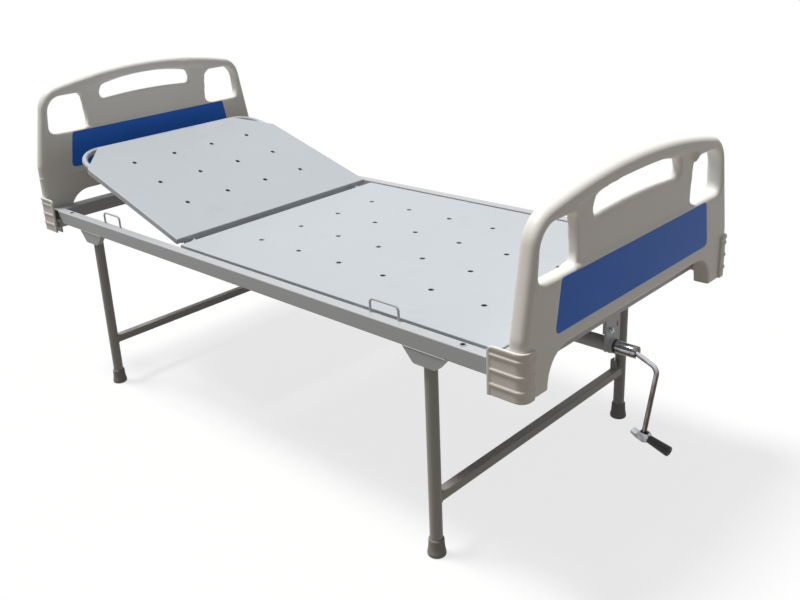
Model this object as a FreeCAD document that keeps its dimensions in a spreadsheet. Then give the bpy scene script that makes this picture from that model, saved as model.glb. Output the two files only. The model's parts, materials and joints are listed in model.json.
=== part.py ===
import FreeCAD, Part
import math
import os
import re
import Sketcher

# Semi-fowler hospital bed: a steel frame on four round legs, a fixed perforated platform and a
# perforated backrest that a crank at the foot end raises through a screw, a push tube and a lever.
# +X points to the foot end, +Y to the far side and +Z up. The origin lies on the floor under the
# middle of the overall box. Places along the bed are counted from the middle between the leg rows.

Vector = FreeCAD.Vector

# Driving sizes in millimetres, degrees or counts
SIZES = {
    # Frame
    "bed_width": 900,
    "bed_height": 591,
    "rail_depth": 42,
    "rail_width": 30,
    "tube_wall": 2,
    "tube_corner": 3,
    "frame_foot_reach": 945,
    "frame_head_reach": 971,
    "end_tube_width": 50,
    "end_tube_setback": 3,
    "rail_mitre": 29,
    # Legs
    "leg_spacing": 1434,
    "leg_diameter": 32,
    "leg_inset": 23.5,
    "foot_height": 48,
    "foot_floor": 10,
    "foot_lip": 6,
    "foot_chamfer": 3,
    "foot_top_diameter": 39,
    "foot_base_diameter": 43,
    "crossbar_width": 25,
    "crossbar_height": 160,
    "gusset_top_width": 130,
    "gusset_base_width": 66,
    "gusset_height": 36,
    "gusset_depth": 18,
    "gusset_plate": 3.5,
    "gusset_corner": 12,
    # Platform
    "platform_head_edge": -262,
    "platform_foot_gap": 55,
    "platform_side_gap": 13,
    "sheet_thickness": 1.5,
    "sheet_bend": 2.5,
    "pan_flange": 17,
    "hole_diameter": 15,
    "hole_rows": 4,
    "platform_hole_start": -93,
    "platform_hole_pitch": 163,
    "platform_hole_columns": 6,
    "platform_row_pitch": 157,
    "cross_tube_width": 25,
    "stiffener_width": 40,
    # Backrest
    "pivot_place": -274,
    "pivot_drop": 15,
    "backrest_angle": 17.45,
    "backrest_gap": 20,
    "backrest_rise": 18.6,
    "backrest_length": 618,
    "backrest_side_gap": 20,
    "chamfer_length": 120,
    "chamfer_width": 112,
    "backrest_lip": 17,
    "backrest_hole_start": 166,
    "backrest_hole_pitch": 150,
    "backrest_hole_columns": 3,
    "backrest_row_pitch": 161,
    "bow_diameter": 19,
    "bow_corner": 90,
    "bow_overhang": 7.5,
    "bow_side_gap": 11,
    "hinge_bar_depth": 28,
    "hinge_bar_thickness": 6,
    # Hinges
    "hinge_inset": 70,
    "hinge_plate": 6,
    "hinge_bolt_diameter": 10,
    "hinge_eye_radius": 11,
    "running_gap": 0.05,
    "side_gap": 0.5,
    # Lever and push tube
    "lever_radius": 104.2,
    "lever_angle": 33.155,
    "lever_plate": 6,
    "lever_foot_place": 62,
    "lever_foot_width": 44,
    "lever_eye": 15,
    "lever_pin_diameter": 12,
    "lever_pin_head": 4,
    "lever_pin_washer": 2,
    "tongue_thickness": 12,
    "tongue_play": 1.8,
    "tongue_lead": 1.2,
    "tongue_border": 9,
    "tongue_tail": 40,
    "tongue_neck": 12,
    "tongue_corner": 3,
    "push_diameter": 28,
    "push_foot_place": 520,
    "nut_length": 40,
    "screw_diameter": 16,
    "screw_length": 560,
    # Crank
    "crank_drop": 74,
    "crank_offset": 30,
    "housing_diameter": 36,
    "housing_wall": 1.6,
    "housing_length": 620,
    "housing_proud": 5,
    "hanger_plate": 4,
    "guide_length": 30,
    "bush_length": 32,
    "bush_flange": 4,
    "shaft_diameter": 20,
    "shaft_collar": 8,
    "sleeve_diameter": 30,
    "sleeve_length": 53,
    "sleeve_socket": 18,
    "fold_setback": 9,
    "fold_slot_width": 12.4,
    "fold_eye": 8,
    "fold_pin_diameter": 6,
    "rod_diameter": 12,
    "rod_length": 66,
    "crank_droop": 23,
    "arm_length": 186,
    "arm_turn": 75,
    "bend_radius": 22,
    "grip_turn": 82,
    "grip_start": 15,
    "grip_length": 56,
    "grip_neck_diameter": 20,
    "grip_end_diameter": 26,
    "grip_recess": 2,
    "grip_recess_diameter": 14,
    "grip_rounding": 4,
    "spindle_diameter": 8,
    "spindle_head": 1,
    "casting_thickness": 20,
    "casting_radius": 12,
    "casting_tail": 29,
    "bracket_width": 62,
    "bracket_plate": 5,
    "bracket_flange": 37,
    "bracket_foot": 6,
    "bracket_setback": 2,
    "bracket_bolt_diameter": 8,
    "bracket_slot_width": 5,
    "bracket_slot_height": 14,
    # End panels
    "panel_thickness": 43,
    "panel_rise": 354,
    "head_panel_rise": 85,
    "panel_overhang": 8,
    "panel_leg_drop": 37,
    "panel_shoulder_rise": 22,
    "panel_side_drop": 105,
    "panel_taper": 36,
    "panel_top_radius": 1724,
    "panel_corner_radius": 78,
    "panel_rim_radius": 17,
    "foot_arch_rise": 7,
    "head_arch_rise": 36,
    "arch_leg_width": 90,
    "arch_radius": 75,
    "skirt_rise": 103,
    "skirt_step": 3,
    "slot_bridge": 47,
    "slot_drop": 107,
    "slot_crown": 10,
    "slot_opening": 60,
    "slot_corner": 20,
    "window_border": 50,
    "window_width": 158,
    "window_drop": 193,
    "window_opening": 125,
    "window_lean": 12,
    "window_corner": 25,
    "window_top_corner": 55,
    "window_edge_radius": 7,
    "field_step": 9,
    "field_margin": 12,
    "field_rise": 3,
    "handle_depth": 35,
    "inset_rise": 30,
    "inset_gap": 3,
    "inset_border": 112,
    "inset_taper": 21,
    "inset_corner": 13,
    "inset_thickness": 2,
    # Corner covers
    "cover_lift": 2,
    "cover_rise": 37,
    "cover_wall": 5,
    "cover_skin": 2,
    "cover_side_reach": 45,
    "cover_front_width": 35,
    "cover_corner_radius": 24,
    "cover_border": 8,
    "cover_rib": 6,
    "panel_bolt_diameter": 8,
    "panel_bolt_inset": 58,
    "panel_bolt_head": 4.5,
    "corner_tab_length": 32,
    "corner_tab_height": 36,
    "corner_tab_plate": 4,
    # Small fittings
    "loop_rod": 6,
    "loop_length": 90,
    "loop_height": 38,
    "loop_corner": 12,
    "loop_inset": 25,
    "head_loop_place": -608,
    "foot_loop_place": 578,
    "socket_diameter": 13,
    "socket_inset": 17,
    "socket_ring_diameter": 19,
    "socket_ring_height": 1.2,
    "foot_socket_inset": 130,
    "head_socket_inset": 117,
    "lug_inset": 26.5,
    "lug_length": 18,
    "lug_height": 28,
    "lug_plate": 3,
}

# Places worked out from the driving sizes
LAYOUT = {
    "rail_base": "bed_height - rail_depth",
    "rail_inner": "bed_width/2 - rail_width",
    "panel_bolt_z": "rail_base + 2*rail_depth/5",
    "panel_bolt_depth": "3*panel_thickness/5",
    "leg_half_width": "bed_width/2 - leg_inset",
    "lug_place": "leg_half_width - lug_inset",
    "foot_socket_place": "frame_foot_reach - foot_socket_inset",
    "head_socket_place": "head_socket_inset - frame_head_reach",
    "platform_width": "2*(rail_inner - platform_side_gap)",
    "backrest_width": "2*(rail_inner - backrest_side_gap)",
    "hinge_place": "rail_inner - hinge_inset",
    "crank_height": "rail_base - crank_drop",
    "panel_half_width": "bed_width/2 + panel_overhang",
    "panel_side_half_width": "panel_half_width - panel_taper",
    "panel_bolt_place": "panel_half_width - panel_bolt_inset",
    "arch_half_width": "panel_half_width - arch_leg_width",
    "window_outer": "panel_half_width - window_border",
    "window_inner": "window_outer - window_width",
    "slot_half_width": "window_inner - slot_bridge",
    "field_half_width": "window_inner + field_margin",
    "inset_base_half_width": "panel_half_width - inset_border",
    "inset_top_half_width": "inset_base_half_width - inset_taper",
    "cover_front_half_width": "panel_half_width - cover_front_width",
    "half_spacing": "leg_spacing/2",
    "platform_foot_edge": "frame_foot_reach - platform_foot_gap",
    "housing_reach": "frame_foot_reach + housing_proud",
    "panel_height": "bed_height + panel_rise",
    "panel_leg_base": "rail_base - panel_leg_drop",
    "cover_base": "panel_leg_base + cover_lift",
    "cover_top": "bed_height + cover_rise",
    "panel_shoulder": "cover_top + panel_shoulder_rise",
    "panel_side_height": "panel_height - panel_side_drop",
    "foot_arch_height": "bed_height + foot_arch_rise",
    "head_arch_height": "bed_height + head_arch_rise",
    "skirt_height": "bed_height + skirt_rise",
    "slot_base_height": "panel_height - slot_drop",
    "window_base_height": "panel_height - window_drop",
    "field_base_height": "window_base_height + field_rise",
    "inset_base_height": "foot_arch_height + inset_rise",
    "inset_height": "window_base_height - inset_gap - inset_base_height",
    # The crank hangs in the plane y = -crank_offset, and its angles are counted below +X
    "sleeve_start_place": "housing_reach + bush_flange",
    "fold_place": "sleeve_start_place + sleeve_length - fold_setback",
    "arm_angle": "crank_droop + arm_turn",
    "grip_angle": "arm_angle - grip_turn",
    "bend_place": "fold_place + rod_length*cos(crank_droop)",
    "bend_height": "crank_height - rod_length*sin(crank_droop)",
    "grip_pin_place": "bend_place + arm_length*cos(arm_angle)",
    "grip_pin_height": "bend_height - arm_length*sin(arm_angle)",
    "grip_reach": "grip_start + grip_length",
    "foot_reach": "grip_pin_place + grip_reach*cos(grip_angle) + grip_end_diameter/2*sin(grip_angle)",
    "cover_front": "panel_thickness + cover_wall + cover_skin",
    "head_reach": "frame_head_reach + cover_front",
    # The overall box is centred on the origin
    "middle": "(head_reach - foot_reach)/2",
    "frame_foot": "middle + frame_foot_reach",
    "frame_head": "middle - frame_head_reach",
    "rail_foot": "frame_foot - end_tube_width",
    "rail_head": "frame_head + end_tube_width",
    "pan_base": "bed_height - pan_flange",
    "cross_tube_base": "pan_base - cross_tube_width",
    "hanger_x": "middle + platform_hole_start + 3.5*platform_hole_pitch",
    "pivot_x": "middle + pivot_place",
    "pivot_z": "bed_height - pivot_drop",
    "hinge_reach": "platform_head_edge - pivot_place",
    "sheet_under": "backrest_rise - sheet_thickness",
    "bow_half_width": "backrest_width/2 - sheet_thickness - bow_side_gap - bow_diameter/2",
    "bow_level": "sheet_under - bow_diameter/2",
    "bow_start": "backrest_gap + sheet_thickness",
    "bow_reach": "backrest_gap + backrest_length - bow_diameter/2 + bow_overhang",
    # The lever's angle is counted from straight down towards the foot end, with the backrest flat
    "lever_rest": "lever_angle - backrest_angle",
    "lever_pin_x": "pivot_x + lever_radius*sin(lever_rest)",
    "lever_pin_z": "pivot_z - lever_radius*cos(lever_rest)",
    "lever_eye_x": "lever_radius*sin(lever_angle)",
    "lever_eye_z": "-lever_radius*cos(lever_angle)",
    "tongue_half_rise": "lever_radius*(1 - cos(lever_angle))/2",
    "tongue_level": "pivot_z - lever_radius*(1 + cos(lever_angle))/2 - crank_height",
    "tongue_slot_width": "lever_pin_diameter + 2*tongue_play",
    "tongue_slot_half_height": "tongue_half_rise + lever_pin_diameter/2 + side_gap",
    "tongue_end": "tongue_slot_width/2 + tongue_border",
    "tongue_x": "lever_pin_x - tongue_lead",
    "push_foot": "middle + push_foot_place",
    "push_head": "tongue_x + tongue_end + tongue_neck + 2",
    "push_bore": "push_diameter - 2*tube_wall",
    "housing_foot": "middle + housing_reach",
    "housing_head": "housing_foot - housing_length",
    "housing_bore": "housing_diameter - 2*housing_wall",
    "fold_x": "middle + fold_place",
    "grip_pin_x": "middle + grip_pin_place",
    "cover_height": "cover_top - cover_base",
}

WORD = re.compile(r"[a-z][a-z0-9_]*")
PLACES = {"x": "Placement.Base.x", "y": "Placement.Base.y", "z": "Placement.Base.z"}
ALONG_X = FreeCAD.Rotation(Vector(0, 1, 0), 90)
ALONG_Y = FreeCAD.Rotation(Vector(1, 0, 0), -90)
ALONG_Z = FreeCAD.Rotation()
SIDES = (("near", -1), ("far", 1))
ENDS = (("foot", 1), ("head", -1))

doc = FreeCAD.newDocument("semi_fowler_bed")
sheet = doc.addObject("Spreadsheet::Sheet", "Sizes")
for row, (alias, value) in enumerate(SIZES.items(), start=1):
    sheet.set(f"A{row}", alias)
    sheet.set(f"B{row}", str(value))
    sheet.setAlias(f"B{row}", alias)
doc.recompute()
layout = doc.addObject("App::FeaturePython", "Layout")
nodes = []


def formula(text):
    """The same formula, with each named value as a reference to the sheet or the layout."""

    def reference(match):
        word = match.group(0)
        if word in SIZES:
            return "Sizes." + word
        if word in LAYOUT:
            return "Layout." + word
        return word

    return WORD.sub(reference, str(text))


for alias, text in LAYOUT.items():
    layout.addProperty("App::PropertyFloat", alias)
    layout.setExpression(alias, formula(text))
    doc.recompute()


def size(name):
    """A driving size or a place of the layout, as a number."""
    return float(getattr(layout, name) if name in LAYOUT else sheet.get(name))


def bind(item, **formulas):
    for name, text in formulas.items():
        item.setExpression(PLACES.get(name, name), formula(text))
    return item


def keep(item, label):
    """Marks a finished sub-part; its label names its file."""
    item.Label = label
    nodes.append(item)
    return item


# Primitives and booleans


def box(name, x, y, z, length, width, height):
    """A block: its low corner, then its size along X, Y and Z."""
    item = doc.addObject("Part::Box", name)
    return bind(item, x=x, y=y, z=z, Length=length, Width=width, Height=height)


def rod(name, x, y, z, diameter, length, turn=ALONG_Z):
    item = doc.addObject("Part::Cylinder", name)
    item.Placement = FreeCAD.Placement(Vector(), turn)
    return bind(item, x=x, y=y, z=z, Radius=f"({diameter})/2", Height=length)


def hexagon(name, x, y, z, diameter, length, turn):
    """A hexagonal head or nut, by the diameter over its corners."""
    item = doc.addObject("Part::Prism", name)
    item.Polygon = 6
    item.Placement = FreeCAD.Placement(Vector(), turn)
    return bind(item, x=x, y=y, z=z, Circumradius=f"({diameter})/2", Height=length)


def fuse(name, *items):
    item = doc.addObject("Part::MultiFuse", name)
    item.Shapes = list(items)
    return item


def cut(name, base, *tools):
    item = doc.addObject("Part::Cut", name)
    item.Base = base
    item.Tool = tools[0] if len(tools) == 1 else fuse(name + "_tools", *tools)
    return item


def group(name, *items):
    """Separate solids that share one node."""
    item = doc.addObject("Part::Compound", name)
    item.Links = list(items)
    return item


def round_tube(name, x, y, z, diameter, bore, length, turn=ALONG_Z):
    outer = rod(name + "_outer", x, y, z, diameter, length, turn)
    inner = rod(name + "_inner", x, y, z, bore, length, turn)
    return cut(name, outer, inner)


# Sketched bodies


def sketch_on(body, name, plane, points=(), circles=(), level="0"):
    """A fully dimensioned sketch: corners joined by straight lines, and circles."""
    sketch = body.newObject("Sketcher::SketchObject", name)
    support = next(item for item in body.Origin.OriginFeatures if item.Role == plane)
    sketch.AttachmentSupport = [(support, "")]
    sketch.MapMode = "FlatFace"
    sketch.setExpression("AttachmentOffset.Base.z", formula(level))

    def dimension(kind, geometry, point, text):
        index = sketch.addConstraint(Sketcher.Constraint(kind, -1, 1, geometry, point, 1.0))
        sketch.setExpression(f"Constraints[{index}]", formula(text))

    count = len(points)
    turns = [2*math.pi*i/count for i in range(count)]
    starts = [Vector(math.cos(turn), math.sin(turn), 0) for turn in turns]
    for i in range(count):
        sketch.addGeometry(Part.LineSegment(starts[i], starts[(i + 1) % count]), False)
    for i in range(count):
        sketch.addConstraint(Sketcher.Constraint("Coincident", i, 2, (i + 1) % count, 1))
    for i, (across, up) in enumerate(points):
        dimension("DistanceX", i, 1, across)
        dimension("DistanceY", i, 1, up)
    for across, up, diameter in circles:
        shape = Part.Circle(Vector(1, 1, 0), Vector(0, 0, 1), 1.0)
        geometry = sketch.addGeometry(shape, False)
        dimension("DistanceX", geometry, 3, across)
        dimension("DistanceY", geometry, 3, up)
        index = sketch.addConstraint(Sketcher.Constraint("Radius", geometry, 1.0))
        sketch.setExpression(f"Constraints[{index}]", formula(f"({diameter})/2"))
    return sketch


def pad(body, sketch, length, side="Symmetric", backwards=False):
    item = body.newObject("PartDesign::Pad", "Pad")
    item.Profile = sketch
    item.SideType = side
    item.Reversed = backwards
    return bind(item, Length=length)


def pocket(body, sketch, length, side="Symmetric", backwards=False):
    """A pocket that has to take something away, so its direction is checked by volume."""
    doc.recompute()
    before = body.Shape.Volume
    item = body.newObject("PartDesign::Pocket", "Pocket")
    item.Profile = sketch
    item.SideType = side
    item.Reversed = backwards
    bind(item, Length=length)
    doc.recompute()
    if body.Shape.Volume >= before:
        raise ValueError(f"{body.Name}: a pocket takes nothing away")
    return item


def revolve(body, sketch, axis):
    item = body.newObject("PartDesign::Revolution", "Revolution")
    item.Profile = sketch
    item.ReferenceAxis = (sketch, [axis])
    item.Angle = 360
    return item


def round_edges(body, radius, chosen):
    """Fillets the edges of the body for which chosen(edge) is true."""
    doc.recompute()
    tip = body.Tip
    edges = enumerate(tip.Shape.Edges, start=1)
    names = [f"Edge{number}" for number, edge in edges if chosen(edge)]
    item = body.newObject("PartDesign::Fillet", "Fillet")
    item.Base = (tip, names)
    return bind(item, Radius=radius)


def straight_along(edge, direction):
    if len(edge.Vertexes) != 2 or edge.Curve.TypeId != "Part::GeomLine":
        return False
    run = edge.Vertexes[1].Point - edge.Vertexes[0].Point
    return run.cross(direction).Length < 1e-6*run.Length


def plate(name, plane, points, thickness, x, y, z, holes=(), level="0"):
    """A flat plate cut to an outline, with round holes, centred on its plane."""
    body = doc.addObject("PartDesign::Body", name)
    pad(body, sketch_on(body, name + "_outline", plane, points, (), level), thickness)
    if holes:
        drilling = sketch_on(body, name + "_holes", plane, (), holes, level)
        pocket(body, drilling, f"4*({thickness})")
    return bind(body, x=x, y=y, z=z)


def rounded_bar(name, plane, width, height, length, x, y, z):
    """A rectangular bar with rounded long edges, centred on its plane along its length."""
    points = [("0", "0"), (width, "0"), (width, height), ("0", height)]
    body = plate(name, plane, points, length, x, y, z)
    along = Vector(1, 0, 0) if plane == "YZ_Plane" else Vector(0, 1, 0)
    round_edges(body, "tube_corner", lambda edge: straight_along(edge, along))
    return body


def tube_along_x(name, x, y, z, length, width, height):
    outer = rounded_bar(name + "_outer", "YZ_Plane", width, height, length,
                        f"{x} + {length}/2", y, z)
    inner = box(name + "_inner", x, f"{y} + tube_wall", f"{z} + tube_wall", length,
                f"{width} - 2*tube_wall", f"{height} - 2*tube_wall")
    return cut(name, outer, inner)


def tube_along_y(name, x, y, z, length, width, height):
    outer = rounded_bar(name + "_outer", "XZ_Plane", length, height, width,
                        x, f"{y} + {width}/2", z)
    inner = box(name + "_inner", f"{x} + tube_wall", y, f"{z} + tube_wall",
                f"{length} - 2*tube_wall", width, f"{height} - 2*tube_wall")
    return cut(name, outer, inner)


def tilt(body, angle):
    """Turns a body about its own Y axis, so that +X dips by the angle."""
    base = body.Placement.Base
    body.Placement = FreeCAD.Placement(base, FreeCAD.Rotation(Vector(0, 1, 0), 10))
    body.setExpression("Placement.Rotation.Angle", formula(angle))
    return body


def feature(name, shape):
    item = doc.addObject("Part::Feature", name)
    item.Shape = shape
    return item


def sweep(path, diameter, start, direction):
    """A round bar along a wire that starts at a point in a direction."""
    ring = Part.Wire(Part.Circle(start, direction, diameter/2).toShape())
    return path.makePipeShell([ring], True, False)


# Frame


def side_rail(side, sign):
    """A rectangular rail with two sockets in its top; its head end is cut back below."""
    low_y = "rail_inner" if sign > 0 else "-bed_width/2"
    tube = tube_along_x(f"rail_{side}_tube", "rail_head", low_y, "rail_base",
                        "(rail_foot - rail_head)", "rail_width", "rail_depth")
    wedge = [("-1", "-1"), ("rail_mitre", "-1"), ("-1", "rail_depth")]
    mitre = plate(f"rail_{side}_mitre", "XZ_Plane", wedge, "4*rail_width",
                  "rail_head", low_y, "rail_base")
    y = f"{sign}*(bed_width/2 - socket_inset)"
    places = [f"middle + {end}_socket_place" for end, direction in ENDS]
    rings = [rod(f"rail_{side}_ring_{i}", x, y, "bed_height", "socket_ring_diameter",
                 "socket_ring_height") for i, x in enumerate(places)]
    holes = [rod(f"rail_{side}_hole_{i}", x, y, "bed_height - 2*tube_wall", "socket_diameter",
                 "4*tube_wall") for i, x in enumerate(places)]
    body = fuse(f"rail_{side}_ringed", cut(f"rail_{side}_cut", tube, mitre), *rings)
    keep(cut(f"rail_{side}", body, *holes), f"side_rail_{side}")


for side, sign in SIDES:
    side_rail(side, sign)


def end_tube(end, direction, x):
    """A tube across one end, drilled for the panel's bolts, with a tab under each corner."""
    half = "(bed_width/2 - end_tube_setback)"
    tube = tube_along_y(f"{end}_tube", x, f"-{half}", "rail_base", "end_tube_width",
                        f"2*{half}", "rail_depth")
    holes = [rod(f"{end}_tube_hole_{side}", f"{x} - 1", f"{sign}*panel_bolt_place",
                 "panel_bolt_z", "panel_bolt_diameter", "end_tube_width + 2", ALONG_X)
             for side, sign in SIDES]
    tab_x = f"{x} + end_tube_width - corner_tab_length" if direction < 0 else x
    tabs = [box(f"{end}_tab_{side}", tab_x,
                f"{sign}*({half} - corner_tab_plate/2) - corner_tab_plate/2",
                "rail_base - corner_tab_height", "corner_tab_length", "corner_tab_plate",
                "corner_tab_height + tube_corner") for side, sign in SIDES]
    keep(cut(f"{end}_tube_drilled", fuse(f"{end}_tube_tabbed", tube, *tabs), *holes),
         f"{end}_end_tube")


end_tube("foot", 1, "rail_foot")
end_tube("head", -1, "frame_head")


def cross_tube(name, place):
    return tube_along_y(name, f"middle + {place}", "-rail_inner", "cross_tube_base",
                        "cross_tube_width", "2*rail_inner", "cross_tube_width")


keep(cross_tube("cross_tube_hinge", "platform_head_edge"), "hinge_cross_tube")
keep(group("cross_tubes",
           cross_tube("cross_tube_a", "platform_hole_start + 1.5*platform_hole_pitch"
                      " - cross_tube_width/2"),
           cross_tube("cross_tube_b", "platform_hole_start + 3.5*platform_hole_pitch"
                      " - cross_tube_width/2"),
           cross_tube("cross_tube_c", "platform_foot_edge - 2*cross_tube_width")),
     "platform_cross_tubes")

# Legs


def leg_places():
    for end, direction in ENDS:
        for side, sign in SIDES:
            yield f"{end}_{side}", f"middle + {direction}*half_spacing", f"{sign}*leg_half_width", sign


def rubber_foot(corner, x, y):
    """A tapered rubber bush with a socket for the leg."""
    body = doc.addObject("PartDesign::Body", f"bush_{corner}")
    profile = [("0", "0"), ("foot_base_diameter/2 - foot_chamfer", "0"),
               ("foot_base_diameter/2", "foot_chamfer"), ("foot_base_diameter/2", "foot_floor"),
               ("foot_top_diameter/2", "foot_height - foot_lip"),
               ("(foot_top_diameter - foot_chamfer)/2", "foot_height"),
               ("leg_diameter/2", "foot_height"),
               ("leg_diameter/2", "foot_floor"), ("0", "foot_floor")]
    revolve(body, sketch_on(body, f"bush_{corner}_profile", "XZ_Plane", profile), "V_Axis")
    keep(bind(body, x=x, y=y), f"rubber_foot_{corner}")


def gusset(corner, x, sign):
    """A pressed gusset: a trapezoid web flush with the rail, its slanted sides bent inwards.

    It is open above and below, where the leg passes behind the web."""
    body = doc.addObject("PartDesign::Body", f"gusset_{corner}")
    outline = [("-gusset_top_width/2", "0"), ("-gusset_base_width/2", "-gusset_height"),
               ("gusset_base_width/2", "-gusset_height"), ("gusset_top_width/2", "0")]
    inside = [("1.6*gusset_plate - gusset_top_width/2", "1"),
              ("1.6*gusset_plate - gusset_base_width/2", "-gusset_height - 1"),
              ("gusset_base_width/2 - 1.6*gusset_plate", "-gusset_height - 1"),
              ("gusset_top_width/2 - 1.6*gusset_plate", "1")]
    pad(body, sketch_on(body, f"gusset_{corner}_outline", "XZ_Plane", outline),
        "gusset_depth", "One side", sign > 0)
    base = 1 - size("gusset_height")
    round_edges(body, "gusset_corner", lambda edge: straight_along(edge, Vector(0, 1, 0))
                and edge.CenterOfMass.z < base)
    pocket(body, sketch_on(body, f"gusset_{corner}_inside", "XZ_Plane", inside),
           "gusset_depth - gusset_plate", "One side", sign < 0)
    return bind(body, x=x, y=f"{sign}*(bed_width/2 - gusset_depth)", z="rail_base")


gussets = []
for corner, x, y, sign in leg_places():
    tube = round_tube(f"leg_{corner}_tube", x, y, "foot_floor", "leg_diameter",
                      "leg_diameter - 2*tube_wall", "rail_base - foot_floor")
    keep(tube, f"leg_{corner}")
    rubber_foot(corner, x, y)
    gussets.append(gusset(corner, x, sign))
keep(group("gussets", *gussets), "leg_gussets")


def crossbar(end, direction):
    """A square tube between two legs, its ends coped to them."""
    x = f"middle + {direction}*half_spacing"
    tube = tube_along_y(f"crossbar_{end}_tube", f"{x} - crossbar_width/2", "-leg_half_width",
                        "crossbar_height - crossbar_width/2", "crossbar_width",
                        "2*leg_half_width", "crossbar_width")
    copes = [rod(f"crossbar_{end}_cope_{side}", x, f"{sign}*leg_half_width",
                 "crossbar_height - crossbar_width", "leg_diameter", "2*crossbar_width")
             for side, sign in SIDES]
    return cut(f"crossbar_{end}", tube, *copes)


LUG_AT = ("middle + half_spacing - crossbar_width/2", "lug_place - lug_length/2",
          "crossbar_height + crossbar_width/2 - tube_corner")
lug = box("crossbar_lug", *LUG_AT, "lug_plate", "lug_length", "lug_height + tube_corner")
lug_foot = box("crossbar_lug_foot", *LUG_AT, "lug_length", "lug_plate",
               "lug_height + tube_corner")
keep(fuse("crossbar_with_lug", crossbar("foot", 1), lug, lug_foot), "foot_crossbar")
keep(crossbar("head", -1), "head_crossbar")

# Platform


def hole_grid(start, pitch, columns, row_pitch, direction=1):
    """Round holes in columns along the bed and rows across it, as centres with a diameter."""
    rows = int(size("hole_rows"))
    return [(f"{direction}*({start} + {i}*{pitch})", f"{j - (rows - 1)/2}*{row_pitch}",
             "hole_diameter") for i in range(int(size(columns))) for j in range(rows)]


def platform_sheet():
    """A sheet with its edges bent down all round, and drilled."""
    body = doc.addObject("PartDesign::Body", "platform")
    low, high, half = "platform_head_edge", "platform_foot_edge", "platform_width/2"
    outline = [(low, f"-{half}"), (high, f"-{half}"), (high, half), (low, half)]
    wall = "sheet_thickness"
    inside = [(f"{low} + {wall}", f"{wall} - {half}"), (f"{high} - {wall}", f"{wall} - {half}"),
              (f"{high} - {wall}", f"{half} - {wall}"), (f"{low} + {wall}", f"{half} - {wall}")]
    pad(body, sketch_on(body, "platform_outline", "XY_Plane", outline), "pan_flange",
        "One side", True)
    round_edges(body, "sheet_bend", lambda edge: edge.BoundBox.ZMin > -0.01)
    pocket(body, sketch_on(body, "platform_inside", "XY_Plane", inside, (), f"-{wall}"),
           "pan_flange", "One side")
    holes = hole_grid("platform_hole_start", "platform_hole_pitch", "platform_hole_columns",
                      "platform_row_pitch")
    pocket(body, sketch_on(body, "platform_holes", "XY_Plane", (), holes),
           "4*sheet_thickness")
    keep(bind(body, x="middle", z="bed_height"), "platform_sheet")


platform_sheet()


def channel(width, depth, wall):
    """The outline of a channel that is open below, hanging from the sketch's origin."""
    half = f"({width})/2"
    return [(f"-{half}", "0"), (half, "0"), (half, f"-{depth}"), (f"{half} - {wall}", f"-{depth}"),
            (f"{half} - {wall}", f"-{wall}"), (f"{wall} - {half}", f"-{wall}"),
            (f"{wall} - {half}", f"-{depth}"), (f"-{half}", f"-{depth}")]


keep(group("stiffeners", *[
    plate(f"stiffener_{side}", "YZ_Plane",
          channel("stiffener_width", "(pan_flange - sheet_thickness)", "sheet_thickness"),
          "platform_foot_edge - platform_head_edge - 4*sheet_thickness",
          "middle + (platform_foot_edge + platform_head_edge)/2",
          f"{sign}*platform_row_pitch", "bed_height - sheet_thickness")
    for side, sign in SIDES]), "platform_stiffeners")

# Backrest: its pieces are drawn flat from the pivot, with the head end towards -X, then raised


def raised(body):
    return tilt(bind(body, x="pivot_x", z="pivot_z"), "backrest_angle")


def backrest_outline(wall="0", spread="0"):
    """The sheet's outline with two corners cut off.

    A wall draws in its sides and its hinge edge; the head edge and the cuts spread out."""
    near = f"-backrest_gap - {wall}"
    far = f"-backrest_gap - backrest_length - {spread}"
    half = f"(backrest_width/2 - {wall})"
    bevel = f"{far} + chamfer_length"
    narrow = "(backrest_width/2 - chamfer_width)"
    return [(near, f"-{half}"), (near, half), (bevel, half), (far, narrow), (far, f"-{narrow}"),
            (bevel, f"-{half}")]


def backrest_sheet():
    """A drilled sheet with lips bent down at its sides and hinge edge, but not over the bow."""
    body = doc.addObject("PartDesign::Body", "backrest")
    pad(body, sketch_on(body, "backrest_outline", "XY_Plane", backrest_outline(), (),
                        "backrest_rise"), "backrest_lip", "One side", True)
    top = size("backrest_rise") - 0.01
    round_edges(body, "sheet_bend", lambda edge: edge.BoundBox.ZMin > top)
    pocket(body, sketch_on(body, "backrest_inside", "XY_Plane",
                           backrest_outline("sheet_thickness", "4*sheet_thickness"), (),
                           "sheet_under"),
           "backrest_lip", "One side")
    holes = hole_grid("backrest_gap + backrest_hole_start", "backrest_hole_pitch",
                      "backrest_hole_columns", "backrest_row_pitch", -1)
    pocket(body, sketch_on(body, "backrest_holes", "XY_Plane", (), holes, "backrest_rise"),
           "4*sheet_thickness")
    keep(raised(body), "backrest_sheet")


backrest_sheet()


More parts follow.
